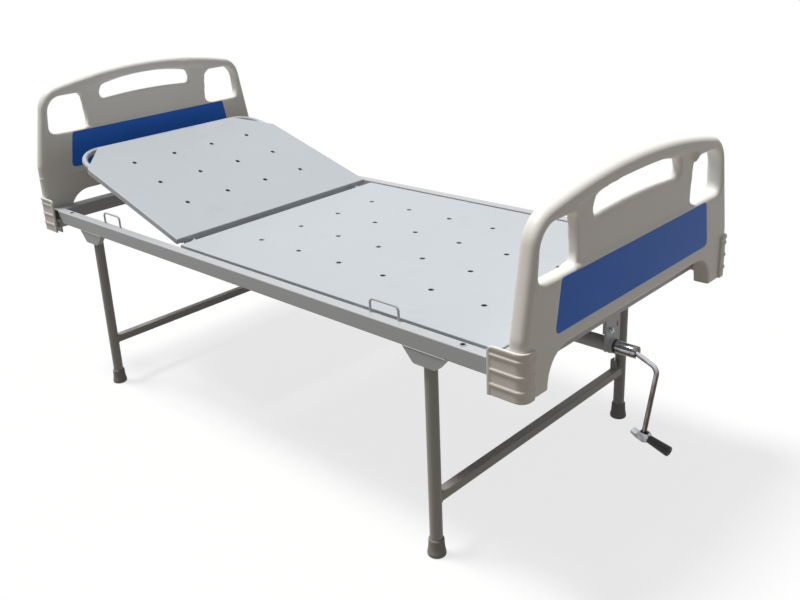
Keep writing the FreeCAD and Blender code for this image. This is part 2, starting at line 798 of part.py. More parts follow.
def backrest_bow():
    """A round tube bent to a U under the sheet's edges; its corners stand clear of the sheet."""
    level, half = size("bow_level"), size("bow_half_width")
    start, end, corner = -size("bow_start"), -size("bow_reach"), size("bow_corner")
    slant = corner*(1 - math.sqrt(0.5))

    def point(x, y):
        return Vector(x, y, level)

    edges = []
    edges.append(Part.LineSegment(point(start, -half), point(end + corner, -half)))
    edges.append(Part.Arc(point(end + corner, -half), point(end + slant, slant - half),
                          point(end, corner - half)))
    edges.append(Part.LineSegment(point(end, corner - half), point(end, half - corner)))
    edges.append(Part.Arc(point(end, half - corner), point(end + slant, half - slant),
                          point(end + corner, half)))
    edges.append(Part.LineSegment(point(end + corner, half), point(start, half)))
    path = Part.Wire([edge.toShape() for edge in edges])
    outer = sweep(path, size("bow_diameter"), point(start, -half), Vector(1, 0, 0))
    bore = size("bow_diameter") - 2*size("tube_wall")
    inner = sweep(path, bore, point(start, -half), Vector(1, 0, 0))
    keep(raised(feature("bow", outer.cut(inner))), "backrest_bow")


backrest_bow()


def between_bow():
    return "2*(bow_half_width - bow_diameter/2)"


def hinge_bar():
    """A flat bar under the hinge end of the sheet, between the ends of the bow."""
    low, high = "-bow_start - hinge_bar_thickness", "-bow_start"
    half = "(bow_half_width - bow_diameter/2)"
    outline = [(low, f"-{half}"), (high, f"-{half}"), (high, half), (low, half)]
    body = plate("bar", "XY_Plane", outline, "hinge_bar_depth", "0", "0", "0", (),
                 "sheet_under - hinge_bar_depth/2")
    keep(raised(body), "hinge_bar")


hinge_bar()


def backrest_stiffener(number, columns):
    """A channel across the sheet, midway between two columns of holes."""
    place = f"-(backrest_gap + backrest_hole_start + {columns}*backrest_hole_pitch)"
    points = channel("stiffener_width", "(bow_diameter/2)", "sheet_thickness")
    outline = [(f"{place} + ({across})", f"sheet_under + ({up})") for across, up in points]
    return raised(plate(f"backrest_channel_{number}", "XZ_Plane", outline, between_bow(),
                        "0", "0", "0"))


keep(group("backrest_channels", backrest_stiffener(1, 0.5), backrest_stiffener(2, 1.5)),
     "backrest_stiffeners")

# Hinges

HOLE_FIT = "+ 2*running_gap"


def hinge_eye(side, sign):
    """A lug welded to the hinge bar, with the eye that turns on the bolt."""
    radius = "hinge_eye_radius"
    outline = [("-bow_start", f"-{radius}"), (radius, f"-{radius}"), (radius, radius),
               (f"-0.8*{radius}", radius), (f"-0.8*{radius}", "sheet_under - backrest_lip"),
               ("-bow_start", "sheet_under - backrest_lip")]
    body = plate(f"eye_{side}", "XZ_Plane", outline, "hinge_plate", "0", "0", "0",
                 [("0", "0", f"hinge_bolt_diameter {HOLE_FIT}")],
                 f"{-sign}*(hinge_place - hinge_plate/2)")
    limit = size("hinge_eye_radius") - 0.01
    round_edges(body, f"0.95*{radius}", lambda edge: straight_along(edge, Vector(0, 1, 0))
                and edge.CenterOfMass.x > limit)
    return raised(body)


def hinge_lug(side, sign):
    """A fixed lug on the hinge cross tube, outside the moving eye."""
    radius = "hinge_eye_radius"
    outline = [("hinge_reach", f"-1.7*{radius}"), ("hinge_reach", radius),
               (f"-{radius}", radius), (f"-{radius}", f"-{radius}"), ("0", f"-1.7*{radius}")]
    body = plate(f"lug_{side}", "XZ_Plane", outline, "hinge_plate", "pivot_x",
                 f"{sign}*(hinge_place + side_gap + hinge_plate/2)", "pivot_z",
                 [("0", "0", "hinge_bolt_diameter")])
    limit = 0.01 - size("hinge_eye_radius")
    round_edges(body, f"0.9*{radius}", lambda edge: straight_along(edge, Vector(0, 1, 0))
                and edge.CenterOfMass.x < limit)
    return body


def bolt_along_y(name, x, z, inner, outer, sign, diameter):
    """A bolt from an inner to an outer distance from the middle: its nut inside, head outside."""
    reach = f"({outer} - ({inner}))"
    shank_y = inner if sign > 0 else f"-({outer})"
    shank = rod(f"{name}_shank", x, f"{shank_y} - 0.7*{diameter}", z, diameter,
                f"{reach} + 1.4*{diameter}", ALONG_Y)
    head_y = outer if sign > 0 else f"-({outer}) - 0.6*{diameter}"
    nut_y = f"{inner} - 0.6*{diameter}" if sign > 0 else f"-({inner})"
    head = hexagon(f"{name}_head", x, head_y, z, f"1.8*{diameter}", f"0.6*{diameter}", ALONG_Y)
    nut = hexagon(f"{name}_nut", x, nut_y, z, f"1.8*{diameter}", f"0.6*{diameter}", ALONG_Y)
    return fuse(name, shank, head, nut)


keep(group("lugs", *[hinge_lug(side, sign) for side, sign in SIDES]), "hinge_lugs")
keep(group("eyes", *[hinge_eye(side, sign) for side, sign in SIDES]), "hinge_eyes")
keep(group("hinge_bolt_group", *[
    bolt_along_y(f"hinge_bolt_{side}", "pivot_x", "pivot_z", "hinge_place - hinge_plate - side_gap",
                 "hinge_place + side_gap + hinge_plate", sign, "hinge_bolt_diameter")
    for side, sign in SIDES]), "hinge_bolts")

# Lever under the backrest, and the push tube that moves it


def lever():
    """Two plates welded under a cross bar; their eyes take the push tube's pin."""
    eye_x, eye_z, eye = "lever_eye_x", "lever_eye_z", "lever_eye"
    under = "(sheet_under - cross_tube_width)"
    foot, half = "-lever_foot_place", "lever_foot_width/2"
    outline = [(f"{foot} - {half}", under), (f"{foot} + {half}", under),
               (f"{eye_x} + {eye}", f"{eye_z} + {eye}"), (f"{eye_x} + {eye}", f"{eye_z} - {eye}"),
               (f"{eye_x} - {eye}", f"{eye_z} - {eye}")]
    limit = size("lever_eye_z") + size("lever_eye") + 1
    pieces = []
    for side, sign in SIDES:
        offset = f"{sign}*(tongue_thickness/2 + side_gap + lever_plate/2)"
        body = plate(f"lever_{side}", "XZ_Plane", outline, "lever_plate", "0", "0", "0",
                     [(eye_x, eye_z, f"lever_pin_diameter {HOLE_FIT}")],
                     f"crank_offset - ({offset})")
        round_edges(body, f"0.7*{eye}", lambda edge: straight_along(edge, Vector(0, 1, 0))
                    and edge.CenterOfMass.z < limit)
        pieces.append(raised(body))
    points = channel("cross_tube_width", "cross_tube_width", "tube_wall")
    bar = [(f"{foot} + ({across})", f"sheet_under + ({up})") for across, up in points]
    pieces.append(raised(plate("lever_bar", "XZ_Plane", bar, between_bow(), "0", "0", "0")))
    keep(group("lever_parts", *pieces), "backrest_lever")


lever()


def lever_pin():
    """A headed pin through both lever plates and the slot of the tongue."""
    half = "(tongue_thickness/2 + side_gap + lever_plate)"
    x, z, low = "lever_pin_x", "lever_pin_z", f"-crank_offset - {half}"
    head_y = f"{low} - lever_pin_head"
    shank = rod("pin_shank", x, head_y, z, "lever_pin_diameter", f"2*({half} + lever_pin_head)",
                ALONG_Y)
    head = rod("pin_head", x, head_y, z, "1.5*lever_pin_diameter", "lever_pin_head", ALONG_Y)
    washer = rod("pin_washer", x, f"{half} - crank_offset", z, "1.7*lever_pin_diameter",
                 "lever_pin_washer", ALONG_Y)
    keep(fuse("pin", shank, head, washer), "lever_pin")


lever_pin()


def push_tongue():
    """A flat tongue with an upright slot, its tail fixed in the push tube."""
    level, half = "tongue_level", "(tongue_slot_half_height + tongue_border)"
    end, tail = "tongue_end", "(2*push_bore/5)"
    outline = [(f"-{end}", f"{level} - {half}"), (end, f"{level} - {half}"),
               (f"{end} + tongue_neck", f"-{tail}"),
               (f"{end} + tongue_neck + tongue_tail", f"-{tail}"),
               (f"{end} + tongue_neck + tongue_tail", tail), (f"{end} + tongue_neck", tail),
               (end, f"{level} + {half}"), (f"-{end}", f"{level} + {half}")]
    body = plate("tongue", "XZ_Plane", outline, "tongue_thickness", "tongue_x",
                 "-crank_offset", "crank_height")
    side, rise = "tongue_slot_width/2", "tongue_slot_half_height"
    slot = [(f"-{side}", f"{level} - {rise}"), (side, f"{level} - {rise}"),
            (side, f"{level} + {rise}"), (f"-{side}", f"{level} + {rise}")]
    pocket(body, sketch_on(body, "tongue_slot", "XZ_Plane", slot), "2*tongue_thickness")
    width = size("tongue_slot_width")/2
    round_edges(body, "tongue_corner", lambda edge: straight_along(edge, Vector(0, 1, 0))
                and abs(abs(edge.CenterOfMass.x) - width) < 0.01)
    limit = -size("tongue_end") + 0.01
    round_edges(body, "tongue_border", lambda edge: straight_along(edge, Vector(0, 1, 0))
                and edge.CenterOfMass.x < limit)
    keep(body, "push_tongue")


push_tongue()


def on_crank_axis(name, x, diameter, length):
    return rod(name, x, "-crank_offset", "crank_height", diameter, length, ALONG_X)


def crank_axis_tube(name, x, diameter, bore, length):
    return round_tube(name, x, "-crank_offset", "crank_height", diameter, bore, length, ALONG_X)


keep(crank_axis_tube("push", "push_head", "push_diameter", "push_bore",
                     "push_foot - push_head"), "push_tube")
keep(crank_axis_tube("nut", "push_foot - nut_length", "push_bore",
                     f"screw_diameter {HOLE_FIT}", "nut_length"), "push_nut")

# Crank housing, screw and crank


keep(crank_axis_tube("housing", "housing_head", "housing_diameter", "housing_bore",
                     "housing_length"), "crank_housing")
keep(crank_axis_tube("guide", "housing_head", "housing_bore", f"push_diameter {HOLE_FIT}",
                     "guide_length"), "guide_bush")
keep(cut("end_bush", fuse("end_bush_body",
                          on_crank_axis("end_bush_sleeve", "housing_foot - bush_length",
                                        "housing_bore", "bush_length"),
                          on_crank_axis("end_bush_flange", "housing_foot", "housing_diameter",
                                        "bush_flange - side_gap/2")),
         on_crank_axis("end_bush_bore", "housing_foot - 2*bush_length",
                       f"shaft_diameter {HOLE_FIT}", "4*bush_length")), "crank_bush")

COLLAR_X = "housing_foot - bush_length - side_gap - shaft_collar"
keep(fuse("screw",
          on_crank_axis("screw_thread", f"{COLLAR_X} - screw_length", "screw_diameter",
                        "screw_length"),
          on_crank_axis("screw_collar", COLLAR_X, "housing_bore - 3", "shaft_collar"),
          on_crank_axis("screw_shaft", COLLAR_X, "shaft_diameter",
                        "shaft_collar + side_gap + bush_length + bush_flange + sleeve_socket")),
     "lead_screw")


def crank_sleeve():
    """The plated sleeve: a socket for the shaft, and a slot that lets the crank fold down."""
    start = "housing_foot + bush_flange"
    body = on_crank_axis("sleeve_bar", start, "sleeve_diameter", "sleeve_length")
    socket = on_crank_axis("sleeve_socket_bore", f"{start} - 1", "shaft_diameter",
                           "sleeve_socket + 1")
    slot = box("sleeve_slot", "fold_x - fold_eye - 2", "-crank_offset - fold_slot_width/2",
               "crank_height - sleeve_diameter", "2*sleeve_diameter", "fold_slot_width",
               "sleeve_diameter + fold_eye + side_gap")
    pin = rod("sleeve_pin_hole", "fold_x", "-crank_offset - sleeve_diameter", "crank_height",
              "fold_pin_diameter", "2*sleeve_diameter", ALONG_Y)
    keep(cut("sleeve", body, socket, slot, pin), "crank_sleeve")


crank_sleeve()
keep(rod("fold_pin_bar", "fold_x", "-crank_offset - sleeve_diameter/2 + 0.5", "crank_height",
         "fold_pin_diameter", "sleeve_diameter - 1", ALONG_Y), "fold_pin")


def crank_rod():
    """One bent bar from the sleeve's pin to the grip's pin, flattened to an eye at each end."""
    y = -size("crank_offset")

    def point(place, height):
        return Vector(size("middle") + place, y, height)

    def below(angle):
        return Vector(math.cos(math.radians(angle)), 0, -math.sin(math.radians(angle)))

    start = point(size("fold_place"), size("crank_height"))
    bend = point(size("bend_place"), size("bend_height"))
    end = point(size("grip_pin_place"), size("grip_pin_height"))
    first, second = below(size("crank_droop")), below(size("arm_angle"))
    half_turn = math.radians(size("arm_turn")/2)
    reach = size("bend_radius")*math.tan(half_turn)
    inward = second - first
    inward.normalize()
    middle = bend + inward*(size("bend_radius")*(1/math.cos(half_turn) - 1))
    path = Part.Wire([
        Part.LineSegment(start, bend - first*reach).toShape(),
        Part.Arc(bend - first*reach, middle, bend + second*reach).toShape(),
        Part.LineSegment(bend + second*reach, end).toShape()])
    across = Vector(0, size("rod_diameter") - 1, 0)
    bar = sweep(path, size("rod_diameter"), start, first)
    for centre in (start, end):
        bar = bar.fuse(Part.makeCylinder(size("fold_eye"), across.y, centre - across/2, across))
    for centre in (start, end):
        radius = size("fold_pin_diameter")/2 + size("running_gap")
        bar = bar.cut(Part.makeCylinder(radius, 2*across.y, centre - across, across))
    keep(feature("rod_bar", bar.removeSplitter()), "crank_rod")


crank_rod()
keep(rod("grip_pin_bar", "grip_pin_x", "-crank_offset - casting_thickness/2 - 1",
         "grip_pin_height", "fold_pin_diameter", "casting_thickness + 2", ALONG_Y), "grip_pin")


def at_grip(body):
    return tilt(bind(body, x="grip_pin_x", y="-crank_offset", z="grip_pin_height"), "grip_angle")


def grip_casting():
    """A forked casting round the end of the rod, with a tail that stops the fold."""
    radius, tail = "casting_radius", "casting_tail"
    outline = [("grip_start", "0.6*casting_radius"), (f"0.7*{radius}", radius),
               (f"-0.8*{radius}", f"0.9*{radius}"), (f"-1.2*{radius}", f"-0.1*{radius}"),
               (f"-{tail}", f"0.1*{radius}"), (f"-{tail}", f"-0.5*{radius}"),
               (f"-0.9*{radius}", f"-0.9*{radius}"), (f"0.5*{radius}", f"-{radius}"),
               ("grip_start", "-0.6*casting_radius")]
    body = plate("casting", "XZ_Plane", outline, "casting_thickness", "0", "0", "0",
                 [("0", "0", "fold_pin_diameter")])
    reach = "(fold_eye + 1)"
    slot = [(reach, f"3*{radius}"), (f"5 - {tail}", f"3*{radius}"), (f"5 - {tail}", "2"),
            (f"-{reach}", f"-0.45*{reach}"), (f"-0.6*{reach}", f"-{reach}"),
            (f"0.6*{reach}", f"-{reach}"), (reach, "0")]
    pocket(body, sketch_on(body, "casting_slot", "XZ_Plane", slot), "fold_slot_width + side_gap")
    keep(at_grip(body), "grip_casting")


grip_casting()


def grip():
    """A tapered grip that spins on its spindle; its end is hollowed for the spindle's head."""
    body = doc.addObject("PartDesign::Body", "grip_body")
    bore = "(spindle_diameter/2 + running_gap)"
    profile = [("grip_start + side_gap", bore), ("grip_start + side_gap", "grip_neck_diameter/2"),
               ("grip_reach", "grip_end_diameter/2"), ("grip_reach", "grip_recess_diameter/2 + 1"),
               ("grip_reach - grip_recess - spindle_head - side_gap/2",
                "grip_recess_diameter/2 + 1"),
               ("grip_reach - grip_recess - spindle_head - side_gap/2", bore)]
    revolve(body, sketch_on(body, "grip_profile", "XZ_Plane", profile), "H_Axis")
    rim, reach = size("grip_end_diameter")/2, size("grip_reach")
    round_edges(body, "grip_rounding", lambda edge: edge.Curve.TypeId == "Part::GeomCircle"
                and abs(edge.Curve.Radius - rim) < 0.01 and abs(edge.CenterOfMass.x - reach) < 0.01)
    keep(at_grip(body), "crank_grip")
    spindle = doc.addObject("PartDesign::Body", "spindle_body")
    head = "grip_reach - grip_recess"
    shape = [("grip_start", "0"), (head, "0"), (head, "grip_recess_diameter/2"),
             (f"{head} - spindle_head", "grip_recess_diameter/2"),
             (f"{head} - spindle_head", "spindle_diameter/2"),
             ("grip_start", "spindle_diameter/2")]
    revolve(spindle, sketch_on(spindle, "spindle_profile", "XZ_Plane", shape), "H_Axis")
    keep(at_grip(spindle), "grip_spindle")


grip()


def crank_bracket():
    """An angle welded under the foot end tube, and the bearing plate that is bolted to it."""
    x, y = "frame_foot - bracket_setback", "-crank_offset - bracket_width/2"
    middle_z = "(rail_base + crank_height + housing_diameter/2)/2"
    bolt_y = "-crank_offset - bracket_width/4"
    bolt_hole = rod("bracket_hole", f"{x} - 3*bracket_plate", bolt_y, middle_z,
                    "bracket_bolt_diameter", "6*bracket_plate", ALONG_X)
    upright = box("bearing_upright", f"{x} - bracket_plate", y, "crank_height - bracket_foot",
                  "bracket_plate", "bracket_width", "rail_base - crank_height + bracket_foot")
    bore = on_crank_axis("bearing_bore", f"{x} - 2*bracket_plate", "housing_diameter",
                         "4*bracket_plate")
    slot = box("bearing_slot", f"{x} - 2*bracket_plate", "bracket_width/4 - crank_offset",
               f"{middle_z} - bracket_plate/2", "4*bracket_plate", "bracket_slot_width",
               "bracket_slot_height")
    keep(cut("bearing", upright, bore, bolt_hole, slot), "crank_bearing_plate")
    leg = box("angle_leg", f"{x} - 2*bracket_plate", y, f"{middle_z} - bracket_bolt_diameter",
              "bracket_plate", "bracket_width", f"rail_base - {middle_z} + bracket_bolt_diameter")
    flange = box("angle_flange", f"{x} - bracket_flange", y, "rail_base - bracket_plate",
                 "bracket_flange - bracket_plate", "bracket_width", "bracket_plate")
    far_slot = box("angle_slot", f"{x} - 3*bracket_plate", "bracket_width/4 - crank_offset",
                   f"{middle_z} - bracket_plate/2", "4*bracket_plate", "bracket_slot_width",
                   "bracket_slot_height")
    keep(cut("angle", fuse("angle_body", leg, flange), bolt_hole, far_slot), "crank_bracket")
    head, nut = "0.65*bracket_bolt_diameter", "0.8*bracket_bolt_diameter"
    pieces = [rod("bracket_bolt_shank", f"{x} - 2*bracket_plate", bolt_y, middle_z,
                  "bracket_bolt_diameter", f"2*bracket_plate + {nut} + 3", ALONG_X),
              hexagon("bracket_bolt_head", f"{x} - 2*bracket_plate - {head}", bolt_y, middle_z,
                      "1.8*bracket_bolt_diameter", head, ALONG_X),
              hexagon("bracket_bolt_nut", x, bolt_y, middle_z, "1.8*bracket_bolt_diameter", nut,
                      ALONG_X)]
    keep(fuse("bracket_bolt_body", *pieces), "bracket_bolt")


crank_bracket()


def housing_hanger():
    """A strap that carries the head end of the housing from a cross tube."""
    half = "housing_diameter/2 + hanger_plate"
    strap = box("hanger_strap", "hanger_x - cross_tube_width/2", f"-crank_offset - ({half})",
                "crank_height", "cross_tube_width", f"2*({half})",
                "cross_tube_base - crank_height")
    window = box("hanger_window", "hanger_x - cross_tube_width/2 - 1",
                 "-crank_offset - housing_diameter/2", "crank_height",
                 "cross_tube_width + 2", "housing_diameter",
                 "cross_tube_base - crank_height - hanger_plate")
    band = on_crank_axis("hanger_band", "hanger_x - cross_tube_width/2",
                         "housing_diameter + 2*hanger_plate", "cross_tube_width")
    bore = on_crank_axis("hanger_bore", "hanger_x - cross_tube_width/2 - 1",
                         "housing_diameter", "cross_tube_width + 2")
    keep(cut("hanger", fuse("hanger_body", cut("hanger_sides", strap, window), band), bore),
         "housing_hanger")


housing_hanger()

# End panels


def panel_plane(y, z):
    return Vector(0, y, z)


def nearest_edge(shape, y, z):
    """The straight edge through the panel's thickness that passes nearest to a point."""
    edges = [edge for edge in shape.Edges if straight_along(edge, Vector(1, 0, 0))]
    return min(edges, key=lambda edge: math.hypot(edge.CenterOfMass.y - y,
                                                  edge.CenterOfMass.z - z))


def flat_edges(shape, faces_x):
    """Edges that lie in one of the planes x = value."""
    return [edge for edge in shape.Edges
            if any(abs(edge.BoundBox.XMin - x) < 1e-4 and abs(edge.BoundBox.XMax - x) < 1e-4
                   for x in faces_x)]


def outline_solid(points, thickness, arcs=()):
    """A slab from an outline of (y, z) corners; an arc bulges to its own middle point."""
    bulges = dict(arcs)
    edges = []
    for i, point in enumerate(points):
        start, end = panel_plane(*point), panel_plane(*points[(i + 1) % len(points)])
        if i in bulges:
            edges.append(Part.Arc(start, panel_plane(*bulges[i]), end).toShape())
        else:
            edges.append(Part.LineSegment(start, end).toShape())
    return Part.Face(Part.Wire(edges)).extrude(Vector(thickness, 0, 0))


def panel_blank(rise, arch_height):
    """The panel's outer form: a crowned top, tapering sides and two legs beside an arch."""
    half, side = size("panel_half_width"), size("panel_side_half_width")
    shoulder, side_height = size("panel_shoulder") + rise, size("panel_side_height") + rise
    top, radius = size("panel_height") + rise, size("panel_top_radius")
    slope = (half - side)/(side_height - shoulder)
    # The side line meets the crown where y = half - slope*(z - shoulder) lies on the circle
    centre = top - radius
    drop = shoulder - centre
    a = 1 + slope*slope
    b = drop - slope*half
    c = drop*drop + half*half - radius*radius
    run = (-b + math.sqrt(b*b - a*c))/a
    corner_y, corner_z = half - slope*run, shoulder + run
    inner, base = size("arch_half_width"), size("panel_leg_base")
    points = [(inner, base), (half, base), (half, shoulder), (corner_y, corner_z),
              (-corner_y, corner_z), (-half, shoulder), (-half, base), (-inner, base),
              (-inner, arch_height), (inner, arch_height)]
    slab = outline_solid(points, size("panel_thickness"), [(3, (0, top))])
    for sign in (-1, 1):
        slab = slab.makeFillet(size("panel_corner_radius"),
                               [nearest_edge(slab, sign*corner_y, corner_z)])
        slab = slab.makeFillet(size("arch_radius"),
                               [nearest_edge(slab, sign*inner, arch_height)])
    return slab


def slot_cutter(rise):
    """The hand slot with its rounded corners."""
    base, half = size("slot_base_height") + rise, size("slot_half_width")
    crown, tall = size("slot_crown"), size("slot_opening")
    lean = size("slot_corner")
    points = [(-half, base), (half, base), (half - lean, base + tall - crown),
              (lean - half, base + tall - crown)]
    arcs = [(0, (0, base + crown)), (2, (0, base + tall + crown))]
    cutter = outline_solid(points, size("panel_thickness"), arcs)
    for y, z in points:
        cutter = cutter.makeFillet(size("slot_corner"), [nearest_edge(cutter, y, z)])
    return cutter


def window_cutters(rise):
    """The two side windows with their rounded corners."""
    cutters = []
    inner, outer = size("window_inner"), size("window_outer")
    low = size("window_base_height") + rise
    high = low + size("window_opening")
    for sign in (-1, 1):
        points = [(sign*inner, low), (sign*outer, low), (sign*(outer - size("window_lean")), high),
                  (sign*(inner + size("window_lean")), high)]
        cutter = outline_solid(points, size("panel_thickness"))
        radii = [size("window_corner"), size("window_corner"), size("window_top_corner"),
                 size("window_corner")]
        for (y, z), radius in zip(points, radii):
            cutter = cutter.makeFillet(radius, [nearest_edge(cutter, y, z)])
        cutters.append(cutter)
    return cutters


def field_cutter(rise):
    """The field round the hand slot, which is thinner than the handle above it."""
    half, base = size("field_half_width"), size("field_base_height") + rise
    top = size("panel_height") + rise - size("handle_depth")
    radius = size("panel_top_radius") - size("handle_depth")
    side = top - radius + math.sqrt(radius*radius - half*half)
    points = [(-half, base), (half, base), (half, side), (-half, side)]
    return outline_solid(points, size("field_step") + 1, [(2, (0, top))])


def inset_solid(rise, depth):
    """The laminate strip's form: a trapezoid with rounded corners."""
    low = size("inset_base_height") + rise
    high = low + size("inset_height")
    base, top = size("inset_base_half_width"), size("inset_top_half_width")
    points = [(-base, low), (base, low), (top, high), (-top, high)]
    strip = outline_solid(points, depth)
    for y, z in points:
        strip = strip.makeFillet(size("inset_corner"), [nearest_edge(strip, y, z)])
    return strip


def opened(panel, cutter, faces):
    """The panel with an opening whose edges on the given planes are rounded."""
    panel = panel.cut(cutter)
    bounds = cutter.BoundBox
    mouth = [edge for edge in flat_edges(panel, faces)
             if edge.BoundBox.YMin > bounds.YMin - 0.1 and edge.BoundBox.YMax < bounds.YMax + 0.1
             and edge.BoundBox.ZMin > bounds.ZMin - 0.1 and edge.BoundBox.ZMax < bounds.ZMax + 0.1]
    return panel.makeFillet(size("window_edge_radius"), mouth)


def end_panel(end, x, rise, arch_height):
    """A moulded panel with a hand slot and two windows; its rim is rounded except at the arch."""
    depth, base = size("panel_thickness"), size("panel_leg_base")
    blank = panel_blank(rise, arch_height)
    rim = [edge for edge in flat_edges(blank, (0, depth))
           if edge.BoundBox.ZMax > arch_height + 1]
    panel = blank.makeFillet(size("panel_rim_radius"), rim)
    for cutter in window_cutters(rise):
        panel = opened(panel, cutter, (0, depth))
    field_faces = (size("field_step"), depth - size("field_step"))
    for low_x in (-1, field_faces[1]):
        field = field_cutter(rise)
        field.translate(Vector(low_x, 0, 0))
        panel = panel.cut(field)
    panel = opened(panel, slot_cutter(rise), field_faces)
    recess = inset_solid(rise, size("inset_thickness"))
    recess.translate(Vector(depth - size("inset_thickness"), 0, 0))
    panel = panel.cut(recess)
    bolt = size("panel_bolt_diameter")/2
    for sign in (-1, 1):
        start = Vector(-1 if end == "foot" else depth + 1, sign*size("panel_bolt_place"),
                       size("panel_bolt_z"))
        inward = Vector(1 if end == "foot" else -1, 0, 0)
        panel = panel.cut(Part.makeCylinder(bolt, size("panel_bolt_depth") + 1, start, inward))
    if end == "head":
        step, width = size("skirt_step"), 2*size("panel_half_width")
        tall = size("skirt_height") - base
        for low_x in (-1, depth - step):
            slab = Part.makeBox(step + 1, width, tall + 1, Vector(low_x, -width/2, base - 1))
            panel = panel.cut(slab)
    keep(bind(feature(f"{end}_panel_body", panel), x=x), f"{end}_panel")
    strip = inset_solid(rise, size("inset_thickness"))
    keep(bind(feature(f"{end}_inset_body", strip), x=f"{x} + panel_thickness - inset_thickness"),
         f"{end}_panel_inset")


end_panel("foot", "frame_foot", 0, size("foot_arch_height"))
end_panel("head", "frame_head - panel_thickness", size("head_panel_rise"),
          size("head_arch_height"))


def panel_bolts():
    """Hexagon bolts through the end tubes into the panels' legs."""
    bolts = []
    z, diameter, head = "panel_bolt_z", "panel_bolt_diameter", "panel_bolt_head"
    for end, direction in ENDS:
        face = "rail_foot" if direction > 0 else "rail_head"
        for side, sign in SIDES:
            y = f"{sign}*panel_bolt_place"
            length = "end_tube_width + panel_bolt_depth - 1"
            shank_x = face if direction > 0 else f"{face} - ({length})"
            head_x = f"{face} - {head}" if direction > 0 else face
            name = f"panel_bolt_{end}_{side}"
            bolts.append(fuse(name, rod(f"{name}_shank", shank_x, y, z, diameter, length, ALONG_X),
                              hexagon(f"{name}_head", head_x, y, z, f"1.8*{diameter}", head,
                                      ALONG_X)))
    keep(group("panel_bolt_group", *bolts), "panel_bolts")


panel_bolts()

# Corner covers


def quarter(x, y, radius):
    """A quarter arc round the outside of a corner, from its +Y side to its +X side."""
    slant = radius*(1 - math.sqrt(0.5))
    return Part.Arc(Vector(x - radius, y, 0), Vector(x - slant, y - slant, 0),
                    Vector(x, y - radius, 0))


def cover_plan(grow, front, reach):
    """The plan of an L-shaped wall round a panel's rounded corner, in its first quadrant."""
    wall = size("cover_wall")
    inner_y, inner_x = size("panel_half_width"), size("panel_thickness")
    outer_y, outer_x = inner_y + wall + grow, inner_x + wall + grow
    outer, inner = size("cover_corner_radius"), size("panel_rim_radius")
    edges = [Part.LineSegment(Vector(-reach, inner_y, 0), Vector(-reach, outer_y, 0)),
             Part.LineSegment(Vector(-reach, outer_y, 0), Vector(outer_x - outer, outer_y, 0)),
             quarter(outer_x, outer_y, outer),
             Part.LineSegment(Vector(outer_x, outer_y - outer, 0), Vector(outer_x, front, 0)),
             Part.LineSegment(Vector(outer_x, front, 0), Vector(inner_x, front, 0)),
             Part.LineSegment(Vector(inner_x, front, 0), Vector(inner_x, inner_y - inner, 0)),
             quarter(inner_x, inner_y, inner),
             Part.LineSegment(Vector(inner_x - inner, inner_y, 0), Vector(-reach, inner_y, 0))]
    return Part.Face(Part.Wire(Part.sortEdges([edge.toShape() for edge in edges])[0]))


def cover_band(low, high, grow, front, reach):
    band = cover_plan(grow, front, reach).extrude(Vector(0, 0, high - low))
    band.translate(Vector(0, 0, low))
    return band


def corner_cover(name, x, direction, sign):
    """A moulded cover round a panel's leg, with a raised border and three raised ribs."""
    tall, border, rib = size("cover_height"), size("cover_border"), size("cover_rib")
    skin, front, reach = size("cover_skin"), size("cover_front_half_width"), size("cover_side_reach")
    cover = cover_band(0, tall, 0, front, reach)
    bands = [(tall - border, tall)]
    bands += [(share*tall, share*tall + rib) for share in (0.2, 0.5, 0.8)]
    for low, high in bands:
        cover = cover.fuse(cover_band(low, high, skin, front, reach))
    upright = Part.makeBox(border, size("cover_wall") + skin, tall,
                           Vector(-reach, size("panel_half_width"), 0))
    radius = 2*border
    inner, across = size("panel_half_width") - radius, 2*radius
    block = Part.makeBox(radius + 1, across, radius + 1, Vector(-reach - 1, inner, tall - radius))
    round_off = Part.makeCylinder(radius, across, Vector(radius - reach, inner, tall - radius),
                                  Vector(0, 1, 0))
    cover = cover.fuse(upright).removeSplitter().cut(block.cut(round_off))
    if direction < 0:
        cover = cover.mirror(Vector(), Vector(1, 0, 0))
    if sign < 0:
        cover = cover.mirror(Vector(), Vector(0, 1, 0))
    keep(bind(feature(name + "_body", cover), x=x, z="cover_base"), name)


for end, direction in ENDS:
    for side, sign in SIDES:
        corner_cover(f"corner_cover_{end}_{side}", f"frame_{end}", direction, sign)

# Mattress loops


def mattress_loop(name, place, sign):
    """A bent rod that stands on the rail and keeps the mattress from sliding."""
    half, tall = size("loop_length")/2, size("loop_height") - size("loop_rod")/2
    radius = size("loop_corner")
    slant = radius*(1 - math.sqrt(0.5))
    points = [Vector(-half, 0, 0), Vector(-half, 0, tall - radius),
              Vector(slant - half, 0, tall - slant), Vector(radius - half, 0, tall),
              Vector(half - radius, 0, tall), Vector(half - slant, 0, tall - slant),
              Vector(half, 0, tall - radius), Vector(half, 0, 0)]
    path = Part.Wire([Part.LineSegment(points[0], points[1]).toShape(),
                      Part.Arc(*points[1:4]).toShape(),
                      Part.LineSegment(points[3], points[4]).toShape(),
                      Part.Arc(*points[4:7]).toShape(),
                      Part.LineSegment(points[6], points[7]).toShape()])
    loop = sweep(path, size("loop_rod"), points[0], Vector(0, 0, 1))
    keep(bind(feature(name + "_rod", loop), x=f"middle + {place}",
              y=f"{sign}*(bed_width/2 - loop_inset)", z="bed_height"), name)


for end, direction in ENDS:
    for side, sign in SIDES:
        mattress_loop(f"mattress_loop_{end}_{side}", f"{end}_loop_place", sign)

# Check and write

